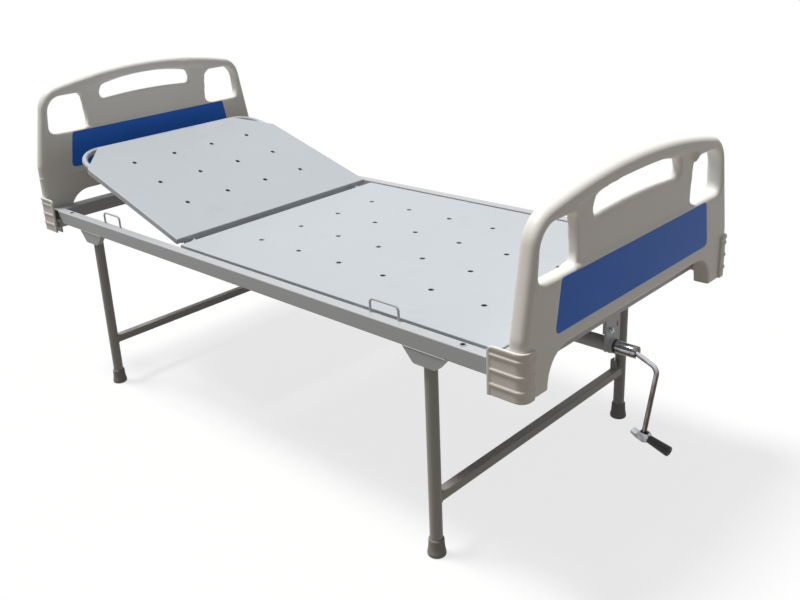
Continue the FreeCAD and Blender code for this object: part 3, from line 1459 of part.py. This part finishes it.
doc.recompute()
for item in doc.Objects:
    if "Invalid" in item.State or "Error" in item.State:
        raise RuntimeError(f"{item.Name}: {item.State}")
faulty = [item.Label for item in nodes if item.Shape.isNull() or not item.Shape.isValid()]
if faulty:
    raise RuntimeError("shapes that are not sound: " + ", ".join(faulty))

os.makedirs("parts", exist_ok=True)
for item in nodes:
    item.Shape.exportStep(f"parts/{item.Label}.step")
print(len(nodes), "nodes,", sum(len(item.Shape.Solids) for item in nodes), "solids")
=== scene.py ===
"""Looks of a semi-fowler hospital bed: finishes, fittings, weld beads, floor, light and camera."""

import json
import math

import bmesh
import bpy
from mathutils import Matrix, Quaternion, Vector


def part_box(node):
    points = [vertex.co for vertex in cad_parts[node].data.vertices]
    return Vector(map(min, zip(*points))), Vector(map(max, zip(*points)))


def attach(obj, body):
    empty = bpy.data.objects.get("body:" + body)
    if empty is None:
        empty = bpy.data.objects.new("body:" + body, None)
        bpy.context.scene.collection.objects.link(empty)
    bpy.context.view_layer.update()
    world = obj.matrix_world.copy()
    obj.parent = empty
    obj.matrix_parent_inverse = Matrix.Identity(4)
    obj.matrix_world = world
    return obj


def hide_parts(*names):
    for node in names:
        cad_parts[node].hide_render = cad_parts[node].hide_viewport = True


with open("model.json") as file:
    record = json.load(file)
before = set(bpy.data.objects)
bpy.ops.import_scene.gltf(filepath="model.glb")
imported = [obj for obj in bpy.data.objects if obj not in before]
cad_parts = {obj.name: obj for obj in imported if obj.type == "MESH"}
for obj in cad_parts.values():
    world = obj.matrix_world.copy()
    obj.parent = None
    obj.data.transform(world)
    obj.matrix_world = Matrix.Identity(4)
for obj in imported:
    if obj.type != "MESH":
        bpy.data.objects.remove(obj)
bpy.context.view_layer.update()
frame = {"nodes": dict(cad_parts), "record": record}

MM = 0.001
SIDES = (("near", -1), ("far", 1))
ENDS = (("foot", 1), ("head", -1))
ALONG_X = Matrix.Rotation(math.pi/2, 4, "Y")
ALONG_Y = Matrix.Rotation(-math.pi/2, 4, "X")


def centre(node):
    low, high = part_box(node)
    return (low + high)/2


def joint(name):
    return next(item for item in frame["record"]["behaviour"]["joints"] if item["name"] == name)


# Places in the bed, in metres
LEGS = [centre(f"leg_{end}_{side}") for end, direction in ENDS for side, sign in SIDES]
MIDDLE = sum(leg.x for leg in LEGS)/len(LEGS)
RAIL_DEPTH = 42*MM
RAIL_FACE = 450*MM
RAIL_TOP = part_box("platform_sheet")[1].z
RAIL_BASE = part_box("foot_end_tube")[1].z - RAIL_DEPTH
CRANK_AXIS = Vector(joint("crank_turn")["pos_m"])

# The crossbars' middle height and half their thickness, in millimetres
CROSSBAR_LEVEL = 160
CROSSBAR_HALF = 12.5

# The backrest's own frame at rest: its hinge, turned by its angle above flat
TILT = joint("backrest_tilt")
BACKREST_TURN = Matrix.Translation(TILT["pos_m"]) @ Matrix.Rotation(
    math.radians(-TILT["range_deg"][0]), 4, "Y")

# Finishes


def colour(red, green, blue):
    """A colour as eyes read it, from 0 to 255, in the linear numbers that a shader takes."""
    shares = [value/255 for value in (red, green, blue)]
    return tuple(share/12.92 if share <= 0.04045 else ((share + 0.055)/1.055)**2.4
                 for share in shares) + (1.0,)


class Value:
    """An output of a shader node, which Python's operators add, subtract and multiply."""

    def __init__(self, finish, output):
        self.finish = finish
        self.output = output

    def joined(self, operation, first, second):
        return self.finish.node("Math", {"operation": operation}, {0: first, 1: second})

    def __add__(self, other):
        return self.joined("ADD", self, other)

    __radd__ = __add__

    def __sub__(self, other):
        return self.joined("SUBTRACT", self, other)

    def __rsub__(self, other):
        return self.joined("SUBTRACT", other, self)

    def __mul__(self, other):
        return self.joined("MULTIPLY", self, other)

    __rmul__ = __mul__


class Finish:
    """A procedural material on the bed's own coordinates."""

    def __init__(self, name, shader="BsdfPrincipled", **sockets):
        self.material = bpy.data.materials.new(name)
        self.material.use_nodes = True
        self.tree = self.material.node_tree
        self.tree.nodes.clear()
        self.shader = self.tree.nodes.new("ShaderNode" + shader)
        output = self.tree.nodes.new("ShaderNodeOutputMaterial")
        self.tree.links.new(self.shader.outputs[0], output.inputs["Surface"])
        for socket, value in sockets.items():
            self.set(socket.replace("_", " "), value)

    def connect(self, socket, value):
        if isinstance(value, Value):
            self.tree.links.new(value.output, socket)
        else:
            socket.default_value = value

    def set(self, socket, value):
        self.connect(self.shader.inputs[socket], value)

    def node(self, kind, settings=None, inputs=None, output=0):
        made = self.tree.nodes.new("ShaderNode" + kind)
        for name, value in (settings or {}).items():
            setattr(made, name, value)
        for name, value in (inputs or {}).items():
            self.connect(made.inputs[name], value)
        return Value(self, made.outputs[output])

    def place(self, stretch=(1, 1, 1), turn=(0, 0, 0)):
        position = self.node("TexCoord", output="Object")
        return self.node("Mapping", inputs={"Vector": position, "Rotation": turn,
                                            "Scale": stretch})

    def noise(self, scale, detail=2.0, stretch=(1, 1, 1), turn=(0, 0, 0)):
        return self.node("TexNoise", inputs={"Vector": self.place(stretch, turn),
                                             "Scale": scale, "Detail": detail})

    def between(self, value, low, high):
        """0 below low, 1 above high and a smooth rise between them."""
        return self.node("MapRange", {"interpolation_type": "SMOOTHSTEP"},
                         {"Value": value, "From Min": low, "From Max": high})

    def mixed(self, mask, first, second):
        return self.node("Mix", {"data_type": "RGBA"}, {0: mask, 6: first, 7: second}, 2)

    def bump(self, *layers):
        """Each layer is a height from 0 to 1 and its depth in metres."""
        height = sum(value*(depth*1000) for value, depth in layers)
        self.set("Normal", self.node("Bump", inputs={"Height": height, "Distance": 0.001,
                                                     "Strength": 1.0}))


def powder_coat(name, tone, shaded, roughness):
    """Satin paint over steel: faint orange peel, slow unevenness and a few rubbed places."""
    finish = Finish(name, Metallic=0.0, Coat_Weight=0.08, Coat_Roughness=0.3,
                    Specular_IOR_Level=0.4)
    slow = finish.noise(2.6, 3.0)
    rubbed = finish.between(finish.noise(9.0, 6.0, (1, 1, 2)), 0.60, 0.78)
    finish.set("Base Color", finish.mixed(slow*0.5 + rubbed*0.4, tone, shaded))
    finish.set("Roughness", roughness - 0.06 + slow*0.12 + rubbed*0.12)
    finish.bump((finish.noise(420.0, 2.0), 0.00005), (finish.noise(60.0, 1.0), 0.00012))
    return finish.material


def moulded_plastic(name, tone, shaded, roughness, grain):
    """Moulded plastic: a fine texture, slow waves from the mould and slight yellowing."""
    finish = Finish(name, Metallic=0.0, Coat_Weight=0.08, Coat_Roughness=0.25,
                    Specular_IOR_Level=0.4)
    slow = finish.noise(1.7, 3.0)
    soiled = finish.between(finish.noise(5.5, 6.0), 0.58, 0.85)
    finish.set("Base Color", finish.mixed(slow*0.45 + soiled*0.35, tone, shaded))
    finish.set("Roughness", roughness - 0.05 + slow*0.1 + soiled*0.1)
    finish.bump((finish.noise(900.0, 2.0), grain), (finish.noise(14.0, 1.0), 0.0006))
    return finish.material


def laminate(name, tone, shaded):
    """A printed strip under a clear film, with a faint grain along the bed's width."""
    finish = Finish(name, Metallic=0.0, Specular_IOR_Level=0.12)
    grain = finish.noise(30.0, 6.0, (8, 1, 8))
    slow = finish.noise(3.0, 2.0)
    finish.set("Base Color", finish.mixed(grain*0.35 + slow*0.4, tone, shaded))
    finish.set("Roughness", 0.34 + slow*0.12)
    finish.bump((grain, 0.00002), (finish.noise(9.0, 1.0), 0.0003))
    return finish.material


def plated_metal(name, tone, shaded, roughness, scratches):
    """Plated steel: fine polishing lines, slow clouding and small stains."""
    finish = Finish(name, Metallic=1.0)
    clouds = finish.noise(26.0, 5.0)
    lines = finish.noise(120.0, 4.0, (0.12, 1, 1))
    stains = finish.between(finish.noise(75.0, 6.0), 0.62, 0.8)
    finish.set("Base Color", finish.mixed(clouds*0.5 + stains*0.5, tone, shaded))
    finish.set("Roughness", roughness + clouds*0.08 + lines*scratches + stains*0.15)
    finish.bump((lines, 0.00001), (clouds, 0.00004))
    return finish.material


def chrome_painted_reflections(name, bright, dark, brown):
    """Chrome with painted reflections: its colour is a painted sky reflection where it faces up and
    near, a dark painted horizon band, and a brown painted ground reflection below, all warped by
    streaks.
    """
    finish = Finish(name, Metallic=1.0)
    normal = finish.node("TexCoord", output="Normal")
    near, up = (finish.node("SeparateXYZ", inputs={0: normal}, output=axis) for axis in (1, 2))
    streaks = finish.noise(70.0, 4.0, (0.5, 2, 0.25))
    clouds = finish.noise(26.0, 5.0)
    # Painted reflection: the base colour follows which way the surface faces, bright painted sky
    # above, a dark painted horizon band and brown painted ground below
    facing = up*0.8 - near*0.45 + streaks*0.7
    painted_reflection_low = finish.mixed(finish.between(facing, 0.1, 0.55), brown, dark)
    finish.set("Base Color", finish.mixed(finish.between(facing, 0.62, 1.2), painted_reflection_low, bright))
    finish.set("Roughness", 0.12 + clouds*0.1)
    finish.bump((streaks, 0.00001), (clouds, 0.00004))
    return finish.material


def rubber(name, tone, shaded):
    """Dull rubber with dust in its pores."""
    finish = Finish(name, Metallic=0.0)
    dust = finish.between(finish.noise(38.0, 6.0), 0.45, 0.8)
    finish.set("Base Color", finish.mixed(dust*0.8, tone, shaded))
    finish.set("Roughness", 0.68 + dust*0.22)
    finish.bump((finish.noise(700.0, 3.0), 0.00008), (dust, 0.0001))
    return finish.material


FINISHES = {
    "frame_paint": powder_coat("frame_paint", colour(192, 195, 198), colour(178, 181, 184), 0.45),
    "sheet_paint": powder_coat("sheet_paint", colour(191, 196, 201), colour(180, 186, 192), 0.46),
    "panel_plastic": moulded_plastic("panel_plastic", colour(243, 241, 236),
                                     colour(233, 229, 221), 0.45, 0.00003),
    "inset_laminate": laminate("inset_laminate", colour(54, 126, 242), colour(46, 112, 222)),
    "foot_rubber": rubber("foot_rubber", colour(138, 134, 130), colour(164, 160, 154)),
    "zinc_plate": plated_metal("zinc_plate", colour(188, 190, 192), colour(140, 138, 132),
                               0.3, 0.15),
    # The chrome's three colours are painted reflections: sky where it faces up, a dark horizon
    # band, and brown ground below
    "chrome_plate": chrome_painted_reflections("chrome_plate", colour(206, 210, 216), colour(74, 63, 56),
                                colour(124, 108, 94)),
    "black_plastic": moulded_plastic("black_plastic", colour(24, 24, 25), colour(44, 43, 42),
                                     0.42, 0.00008),
    "bush_plastic": moulded_plastic("bush_plastic", colour(218, 215, 206), colour(196, 190, 178),
                                    0.5, 0.00005),
    "brass": plated_metal("brass", colour(196, 160, 88), colour(150, 118, 62), 0.28, 0.12),
}
# Finishes of single pieces that differ a little from their slot's
# Legs and crossbars: a darker, warmer grey than the frame, partly their own paint and partly
# painted shade from under the bed with a warm ground bounce
LEG_PAINT_AND_SHADE = powder_coat("leg_paint_and_shade", colour(172, 168, 163), colour(156, 151, 145), 0.5)
COVER_PLASTIC = moulded_plastic("cover_plastic", colour(236, 232, 225), colour(222, 217, 207),
                                0.5, 0.00004)
# Dark wells under the sheets' holes: a dark finish that paints the shade seen through the holes
HOLE_PAINTED_SHADE = rubber("hole_painted_shade", colour(54, 52, 50), colour(84, 80, 76))

SLOT_NODES = {
    "panel_plastic": ["foot_panel", "head_panel"]
    + [f"corner_cover_{end}_{side}" for end, direction in ENDS for side, sign in SIDES],
    "inset_laminate": ["foot_panel_inset", "head_panel_inset"],
    "foot_rubber": [f"rubber_foot_{end}_{side}" for end, direction in ENDS
                    for side, sign in SIDES],
    "zinc_plate": ["hinge_bolts", "lever_pin", "panel_bolts", "bracket_bolt", "lead_screw"],
    "chrome_plate": ["crank_sleeve", "crank_rod", "fold_pin", "grip_casting", "grip_pin",
                     "grip_spindle"],
    "black_plastic": ["crank_grip", "crank_bush"],
    "bush_plastic": ["guide_bush"],
    "brass": ["push_nut"],
    "sheet_paint": ["platform_sheet", "platform_stiffeners", "backrest_sheet",
                    "backrest_stiffeners", "backrest_bow", "hinge_bar", "hinge_eyes",
                    "backrest_lever", "push_tube", "push_tongue"],
}
NODE_SLOT = {node: slot for slot, nodes in SLOT_NODES.items() for node in nodes}

for node, piece in frame["nodes"].items():
    piece.data.materials.clear()
    finish = FINISHES[NODE_SLOT.get(node, "frame_paint")]
    # Legs and crossbars take the darker, warmer grey that partly paints in their shade
    if node.startswith("leg_foot") or node.startswith("leg_head") or node.endswith("crossbar"):
        finish = LEG_PAINT_AND_SHADE
    piece.data.materials.append(finish)

# Sharp edges of a few of the frame's own nodes are broken by a small bevel
EDGE_BREAKS = {"crank_sleeve": 0.8, "grip_casting": 1.0, "leg_gussets": 0.8}


def break_edges(node, width):
    piece = frame["nodes"][node]
    weld = piece.modifiers.new("weld", "WELD")
    weld.merge_threshold = 0.00001
    bevel = piece.modifiers.new("edge", "BEVEL")
    bevel.width = width*MM
    bevel.segments = 3
    bevel.limit_method = "ANGLE"
    bevel.angle_limit = math.radians(35)
    piece.modifiers.new("normals", "WEIGHTED_NORMAL")


for node in frame["nodes"]:
    for start, width in EDGE_BREAKS.items():
        if node.startswith(start):
            break_edges(node, width)

# New pieces


def piece_from(shape, name, slot, body="root", replaces=(), smooth=35, finish=None):
    """Turns a bmesh into a piece that rides on a body, with its slot's finish or its own."""
    bmesh.ops.remove_doubles(shape, verts=shape.verts, dist=0.000005)
    bmesh.ops.recalc_face_normals(shape, faces=shape.faces)
    mesh = bpy.data.meshes.new(name)
    shape.to_mesh(mesh)
    shape.free()
    mesh.materials.append(finish or FINISHES[slot])
    mesh.shade_smooth()
    mesh.set_sharp_from_angle(angle=math.radians(smooth))
    piece = bpy.data.objects.new(name, mesh)
    bpy.context.scene.collection.objects.link(piece)
    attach(piece, body)
    if replaces:
        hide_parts(*replaces)
    return piece


def moved(shape, verts, matrix):
    bmesh.ops.transform(shape, matrix=matrix, verts=verts)


def turned(shape, profile, matrix, steps=32):
    """Spins a profile of (radius, height) millimetres about its own Z, then places it."""
    before = set(shape.verts)
    verts = [shape.verts.new((radius*MM, 0, height*MM)) for radius, height in profile]
    edges = [shape.edges.new(pair) for pair in zip(verts, verts[1:])]
    bmesh.ops.spin(shape, geom=verts + edges, axis=(0, 0, 1), cent=(0, 0, 0),
                   angle=2*math.pi, steps=steps, use_merge=True)
    moved(shape, [vert for vert in shape.verts if vert not in before], matrix)


def bead(shape, start, end, radius=2.2, pitch=2.4):
    """A straight weld bead: overlapping ripples along a line."""
    start, end = Vector(start), Vector(end)
    run = end - start
    count = max(3, round(run.length/(pitch*MM)))
    turn = run.to_track_quat("Z", "Y").to_matrix().to_4x4()
    ring = bmesh.ops.create_circle(shape, cap_ends=True, segments=8, radius=radius*MM*0.6,
                                   matrix=Matrix.Translation(start) @ turn)["verts"]
    edges = [edge for edge in shape.edges if all(vert in ring for vert in edge.verts)]
    for index in range(2*count):
        made = bmesh.ops.extrude_edge_only(shape, edges=edges)["geom"]
        ring = [item for item in made if isinstance(item, bmesh.types.BMVert)]
        edges = [item for item in made if isinstance(item, bmesh.types.BMEdge)]
        edges = [edge for edge in edges if all(vert in ring for vert in edge.verts)]
        bmesh.ops.translate(shape, verts=ring, vec=run/(2*count))
        middle = sum((vert.co for vert in ring), Vector())/len(ring)
        share = 1.0 if index % 2 == 0 else 0.78
        if index == 2*count - 1:
            share = 0.6
        for vert in ring:
            vert.co = middle + (vert.co - middle).normalized()*radius*MM*share
    bmesh.ops.contextual_create(shape, geom=edges)


def ring_bead(shape, place, around, inner, radius=1.8, start=0.0, sweep=360.0):
    """A weld bead round a bar: a small round section spun about the bar's axis."""
    before = set(shape.verts)
    verts = bmesh.ops.create_circle(shape, cap_ends=False, segments=8, radius=radius*MM)["verts"]
    shift = Matrix.Translation((inner*MM, 0, 0)) @ Matrix.Rotation(math.pi/2, 4, "X")
    moved(shape, verts, Matrix.Rotation(math.radians(start), 4, "Z") @ shift)
    edges = list({edge for vert in verts for edge in vert.link_edges})
    bmesh.ops.spin(shape, geom=verts + edges, axis=(0, 0, 1), cent=(0, 0, 0),
                   angle=math.radians(sweep), steps=max(6, int(sweep/12)),
                   use_merge=sweep == 360.0)
    fresh = [vert for vert in shape.verts if vert not in before]
    moved(shape, fresh, Matrix.Translation(place) @ around)


# Eyelets pressed into the sheets' holes, and dark wells under them, which paint the shade seen
# through the holes
RIM = [(10.8, 0.0), (10.0, 0.4), (9.2, 0.7), (8.5, 0.68), (7.9, 0.3), (7.45, -0.5),
       (7.25, -1.3), (7.2, -1.8), (7.6, -1.8)]
WELL = [(7.35, -1.2), (7.2, -1.7), (7.1, -3.5), (7.2, -7.5), (7.8, -7.5), (7.9, -3.5)]


def hole_grid(sheet_place, first, pitch, columns, row_pitch, level, rows=4):
    """The places of a sheet's holes, in columns along it and rows centred across it."""
    return [sheet_place @ Matrix.Translation(((first + pitch*column)*MM,
                                              (row - (rows - 1)/2)*row_pitch*MM, level*MM))
            for column in range(columns) for row in range(rows)]


def hole_rims():
    platform = hole_grid(Matrix.Translation((MIDDLE, 0, RAIL_TOP)), -93, 163, 6, 157, 0)
    backrest = hole_grid(BACKREST_TURN, -186, -150, 3, 161, 18.6)
    for sheet, body, places in (("platform", "root", platform), ("backrest", "backrest", backrest)):
        for kind, profile, finish in (("rims", RIM, None), ("wells", WELL, HOLE_PAINTED_SHADE)):
            shape = bmesh.new()
            for place in places:
                turned(shape, profile, place, 24)
            piece_from(shape, f"{sheet}_hole_{kind}", "sheet_paint", body, finish=finish)


hole_rims()


def rubber_feet():
    """Cup feet with a rounded lip and a flared, rounded tread."""
    profile = [(0, 0), (16, 0), (21.0, 0.4), (22.9, 2.0), (23.5, 4.6), (23.4, 9), (22.7, 13),
               (21.7, 17), (20.9, 22), (20.3, 29), (19.9, 37), (19.7, 43), (19.2, 46.2),
               (18.2, 47.6), (17.2, 47.9), (16.3, 47.2), (16.1, 44), (16.1, 12), (0, 11)]
    for end, direction in ENDS:
        for side, sign in SIDES:
            leg = centre(f"leg_{end}_{side}")
            shape = bmesh.new()
            turned(shape, profile, Matrix.Translation((leg.x, leg.y, 0)), 48)
            piece_from(shape, f"cup_foot_{end}_{side}", "foot_rubber", "root",
                       [f"rubber_foot_{end}_{side}"], 50)


rubber_feet()


def copied(node):
    """A merged copy of a node's mesh, to be reshaped into the piece that replaces it."""
    shape = bmesh.new()
    shape.from_mesh(frame["nodes"][node].data)
    bmesh.ops.remove_doubles(shape, verts=shape.verts, dist=0.00001)
    return shape


def softened(name, node, slot, voxel, rounds, finish=None):
    """A moulded form: the node's copy is remeshed finely and relaxed, so that no edge is sharp."""
    piece = piece_from(copied(node), name, slot, "root", [node], 180, finish)
    grid = piece.modifiers.new("grid", "REMESH")
    grid.mode = "VOXEL"
    grid.voxel_size = voxel*MM
    grid.use_smooth_shade = True
    relax = piece.modifiers.new("relax", "SMOOTH")
    relax.factor = 0.5
    relax.iterations = rounds
    return piece


def moulded_panels():
    """The end panels with soft moulded transitions, their sunk strips and their covers."""
    for end, direction in ENDS:
        softened(f"{end}_board", f"{end}_panel", "panel_plastic", 3.5, 7)
        shape = copied(f"{end}_panel_inset")
        back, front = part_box(f"{end}_panel_inset")[0].x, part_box(f"{end}_panel_inset")[1].x
        sink = 0.8*MM
        thinner = Matrix.Scale((front - back - sink)/(front - back), 4, (1, 0, 0))
        moved(shape, shape.verts,
              Matrix.Translation((back, 0, 0)) @ thinner @ Matrix.Translation((-back, 0, 0)))
        bmesh.ops.dissolve_limit(shape, angle_limit=math.radians(1), verts=shape.verts,
                                 edges=shape.edges)
        piece_from(shape, f"{end}_strip", "inset_laminate", "root", [f"{end}_panel_inset"])
        for side, sign in SIDES:
            softened(f"corner_guard_{end}_{side}", f"corner_cover_{end}_{side}",
                     "panel_plastic", 1.3, 4, COVER_PLASTIC)


moulded_panels()


def skirt_seam():
    """The raised line round the head panel, where its lower part begins."""
    low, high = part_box("head_panel")
    level, proud, tall, corner = 694*MM, 1.0*MM, 4*MM, 17*MM
    shape = bmesh.new()
    size = Vector((high.x - low.x + 2*proud, high.y - low.y + 2*proud, tall))
    bmesh.ops.create_cube(shape, size=1, matrix=Matrix.Translation(
        ((low.x + high.x)/2, 0, level)) @ Matrix.Diagonal(size).to_4x4())
    upright = [edge for edge in shape.edges
               if abs(edge.verts[0].co.z - edge.verts[1].co.z) > tall/2]
    bmesh.ops.bevel(shape, geom=upright, offset=corner + proud, segments=10, profile=0.5,
                    affect="EDGES", material=-1)
    level_edges = [edge for edge in shape.edges
                   if abs(edge.verts[0].co.z - edge.verts[1].co.z) < tall/2]
    bmesh.ops.bevel(shape, geom=level_edges, offset=1.6*MM, segments=3, profile=0.5,
                    affect="EDGES", material=-1)
    piece_from(shape, "head_skirt_seam", "panel_plastic")


skirt_seam()


def leg_welds():
    """Beads where the legs meet the rails, and where the crossbars meet the legs."""
    shape = bmesh.new()
    leg_radius, wrap, inset, gusset_half, toe = 16.3, 96, 0.6, 62, 0.5
    reach = math.sqrt(leg_radius**2 - CROSSBAR_HALF**2) + inset
    for leg in LEGS:
        ring_bead(shape, (leg.x, leg.y, RAIL_BASE), Matrix(), 16.6, 2.0)
        side = 1 if leg.y > 0 else -1
        for offset in (-CROSSBAR_HALF, CROSSBAR_HALF):
            ring_bead(shape, (leg.x, leg.y, (CROSSBAR_LEVEL + offset)*MM), Matrix(), 16.8, 1.6,
                      -side*90 - wrap/2, wrap)
        for offset in (-CROSSBAR_HALF, CROSSBAR_HALF):
            x, y = leg.x + offset*MM, leg.y - side*reach*MM
            bead(shape, (x, y, (CROSSBAR_LEVEL - CROSSBAR_HALF + toe)*MM),
                 (x, y, (CROSSBAR_LEVEL + CROSSBAR_HALF - toe)*MM), 1.6)
        rail_side = side*(RAIL_FACE - inset*MM)
        bead(shape, (leg.x - gusset_half*MM, rail_side, RAIL_BASE),
             (leg.x + gusset_half*MM, rail_side, RAIL_BASE), 1.7)
    piece_from(shape, "leg_welds", "frame_paint", smooth=60)


leg_welds()


def loop_welds():
    shape = bmesh.new()
    for end, direction in ENDS:
        for side, sign in SIDES:
            low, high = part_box(f"mattress_loop_{end}_{side}")
            for x in (low.x + 3*MM, high.x - 3*MM):
                ring_bead(shape, (x, (low.y + high.y)/2, RAIL_TOP), Matrix(), 3.2, 1.5)
    piece_from(shape, "loop_welds", "frame_paint", smooth=60)


loop_welds()


def bracket_welds():
    """Beads round the crank housing at its bearing plate, and along the hanger strap."""
    shape = bmesh.new()
    low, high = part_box("crank_bearing_plate")
    ring_bead(shape, (low.x, CRANK_AXIS.y, CRANK_AXIS.z), ALONG_X, 18.3, 1.8)
    ring_bead(shape, (high.x, CRANK_AXIS.y, CRANK_AXIS.z), ALONG_X, 18.2, 1.3)
    low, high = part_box("housing_hanger")
    for y in (low.y + 1*MM, high.y - 1*MM):
        bead(shape, (low.x, y, high.z), (high.x, y, high.z), 1.6)
    piece_from(shape, "bracket_welds", "frame_paint", smooth=60)


bracket_welds()


def tab_screws():
    """Domed screw heads on the tabs under the corners."""
    shape = bmesh.new()
    profile = [(0, 2.2), (1.6, 2.1), (2.9, 1.6), (3.6, 0.8), (3.8, 0), (0, 0)]
    tab_length, tab_face, drop = 32, 446.9, 22
    for end, direction in ENDS:
        low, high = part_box(f"{end}_end_tube")
        for side, sign in SIDES:
            for share in (0.3, 0.75):
                inward = tab_length*share*MM
                tab_x = low.x + inward if end == "foot" else high.x - inward
                place = Matrix.Translation((tab_x, sign*tab_face*MM, RAIL_BASE - drop*MM))
                face = ALONG_Y if sign > 0 else ALONG_Y @ Matrix.Rotation(math.pi, 4, "X")
                turned(shape, profile, place @ face, 16)
    piece_from(shape, "tab_screws", "zinc_plate")


tab_screws()

# Floor, light and camera


def paper_floor():
    """A floor that looks near white under the bed's pale shadow, and lights the bed less."""
    finish = Finish("pale_floor", Roughness=0.9, Specular_IOR_Level=0.0)
    seen = finish.node("LightPath", output="Is Camera Ray")
    mirrored = finish.node("LightPath", output="Is Glossy Ray")
    through = finish.node("LightPath", output="Is Transmission Ray")
    shown = finish.node("Math", {"operation": "MINIMUM"}, {0: seen + mirrored + through, 1: 1.0})
    speckle = finish.noise(1.2, 3.0)
    pale = finish.mixed(speckle, (0.2, 0.2, 0.2, 1), (0.215, 0.215, 0.215, 1))
    finish.set("Base Color", finish.mixed(shown, colour(118, 108, 97), pale))
    finish.set("Emission Color", finish.mixed(shown, (0, 0, 0, 1), (0.76, 0.76, 0.76, 1)))
    finish.set("Emission Strength", 1.0)
    shape = bmesh.new()
    bmesh.ops.create_circle(shape, cap_ends=True, segments=64, radius=140)
    mesh = bpy.data.meshes.new("floor")
    shape.to_mesh(mesh)
    shape.free()
    mesh.materials.append(finish.material)
    floor = bpy.data.objects.new("floor", mesh)
    bpy.context.scene.collection.objects.link(floor)


def white_room():
    """A sky that is white where it is seen or mirrored, and a dim cool light otherwise."""
    world = bpy.data.worlds.new("room")
    bpy.context.scene.world = world
    world.use_nodes = True
    tree = world.node_tree
    tree.nodes.clear()
    path = tree.nodes.new("ShaderNodeLightPath")
    both = tree.nodes.new("ShaderNodeMath")
    both.operation = "MAXIMUM"
    shown = tree.nodes.new("ShaderNodeMath")
    shown.operation = "MAXIMUM"
    lit = tree.nodes.new("ShaderNodeBackground")
    lit.inputs["Color"].default_value = (0.93, 0.97, 1.0, 1)
    lit.inputs["Strength"].default_value = 0.2
    seen = tree.nodes.new("ShaderNodeBackground")
    seen.inputs["Color"].default_value = (0.98, 0.98, 0.98, 1)
    seen.inputs["Strength"].default_value = 1.0
    mix = tree.nodes.new("ShaderNodeMixShader")
    output = tree.nodes.new("ShaderNodeOutputWorld")
    tree.links.new(path.outputs["Is Camera Ray"], both.inputs[0])
    tree.links.new(path.outputs["Is Transmission Ray"], both.inputs[1])
    tree.links.new(both.outputs[0], shown.inputs[0])
    tree.links.new(path.outputs["Is Glossy Ray"], shown.inputs[1])
    tree.links.new(shown.outputs[0], mix.inputs["Fac"])
    tree.links.new(lit.outputs[0], mix.inputs[1])
    tree.links.new(seen.outputs[0], mix.inputs[2])
    tree.links.new(mix.outputs[0], output.inputs["Surface"])


def ceiling_light():
    """A broad soft light from above, the head end and a little from the near side."""
    lamp = bpy.data.lights.new("ceiling_light", "SUN")
    lamp.energy = 3.3
    lamp.angle = math.radians(16)
    lamp.color = (1.0, 0.99, 0.97)
    holder = bpy.data.objects.new("ceiling_light", lamp)
    holder.rotation_mode = "QUATERNION"
    holder.rotation_quaternion = Vector((-0.30, -0.15, 0.94)).to_track_quat("Z", "Y")
    bpy.context.scene.collection.objects.link(holder)


def photo_camera():
    """The photograph's view: its pixels of focal length and its off-centre axis, as found by
    matching the frame's corners."""
    focal, axis_x, axis_y = 918.604, 351.414, 252.386
    azimuth, elevation, roll = (math.radians(angle) for angle in (46.1037, 19.5448, -3.5266))
    back = Vector((math.sin(azimuth)*math.cos(elevation), -math.cos(azimuth)*math.cos(elevation),
                   math.sin(elevation)))
    camera = bpy.data.cameras.new("camera")
    camera.sensor_width = 36
    camera.lens = focal*36/800
    camera.shift_x = (400 - axis_x)/800
    camera.shift_y = (axis_y - 300)/800
    camera.clip_end = 400
    holder = bpy.data.objects.new("camera", camera)
    holder.location = (MIDDLE + 1.940954, -1.829663, 1.44726)
    holder.rotation_mode = "QUATERNION"
    holder.rotation_quaternion = back.to_track_quat("Z", "Y") @ Quaternion((0, 0, 1), roll)
    bpy.context.scene.collection.objects.link(holder)
    bpy.context.scene.camera = holder


paper_floor()
white_room()
ceiling_light()
photo_camera()
bpy.context.scene.view_settings.view_transform = "Standard"
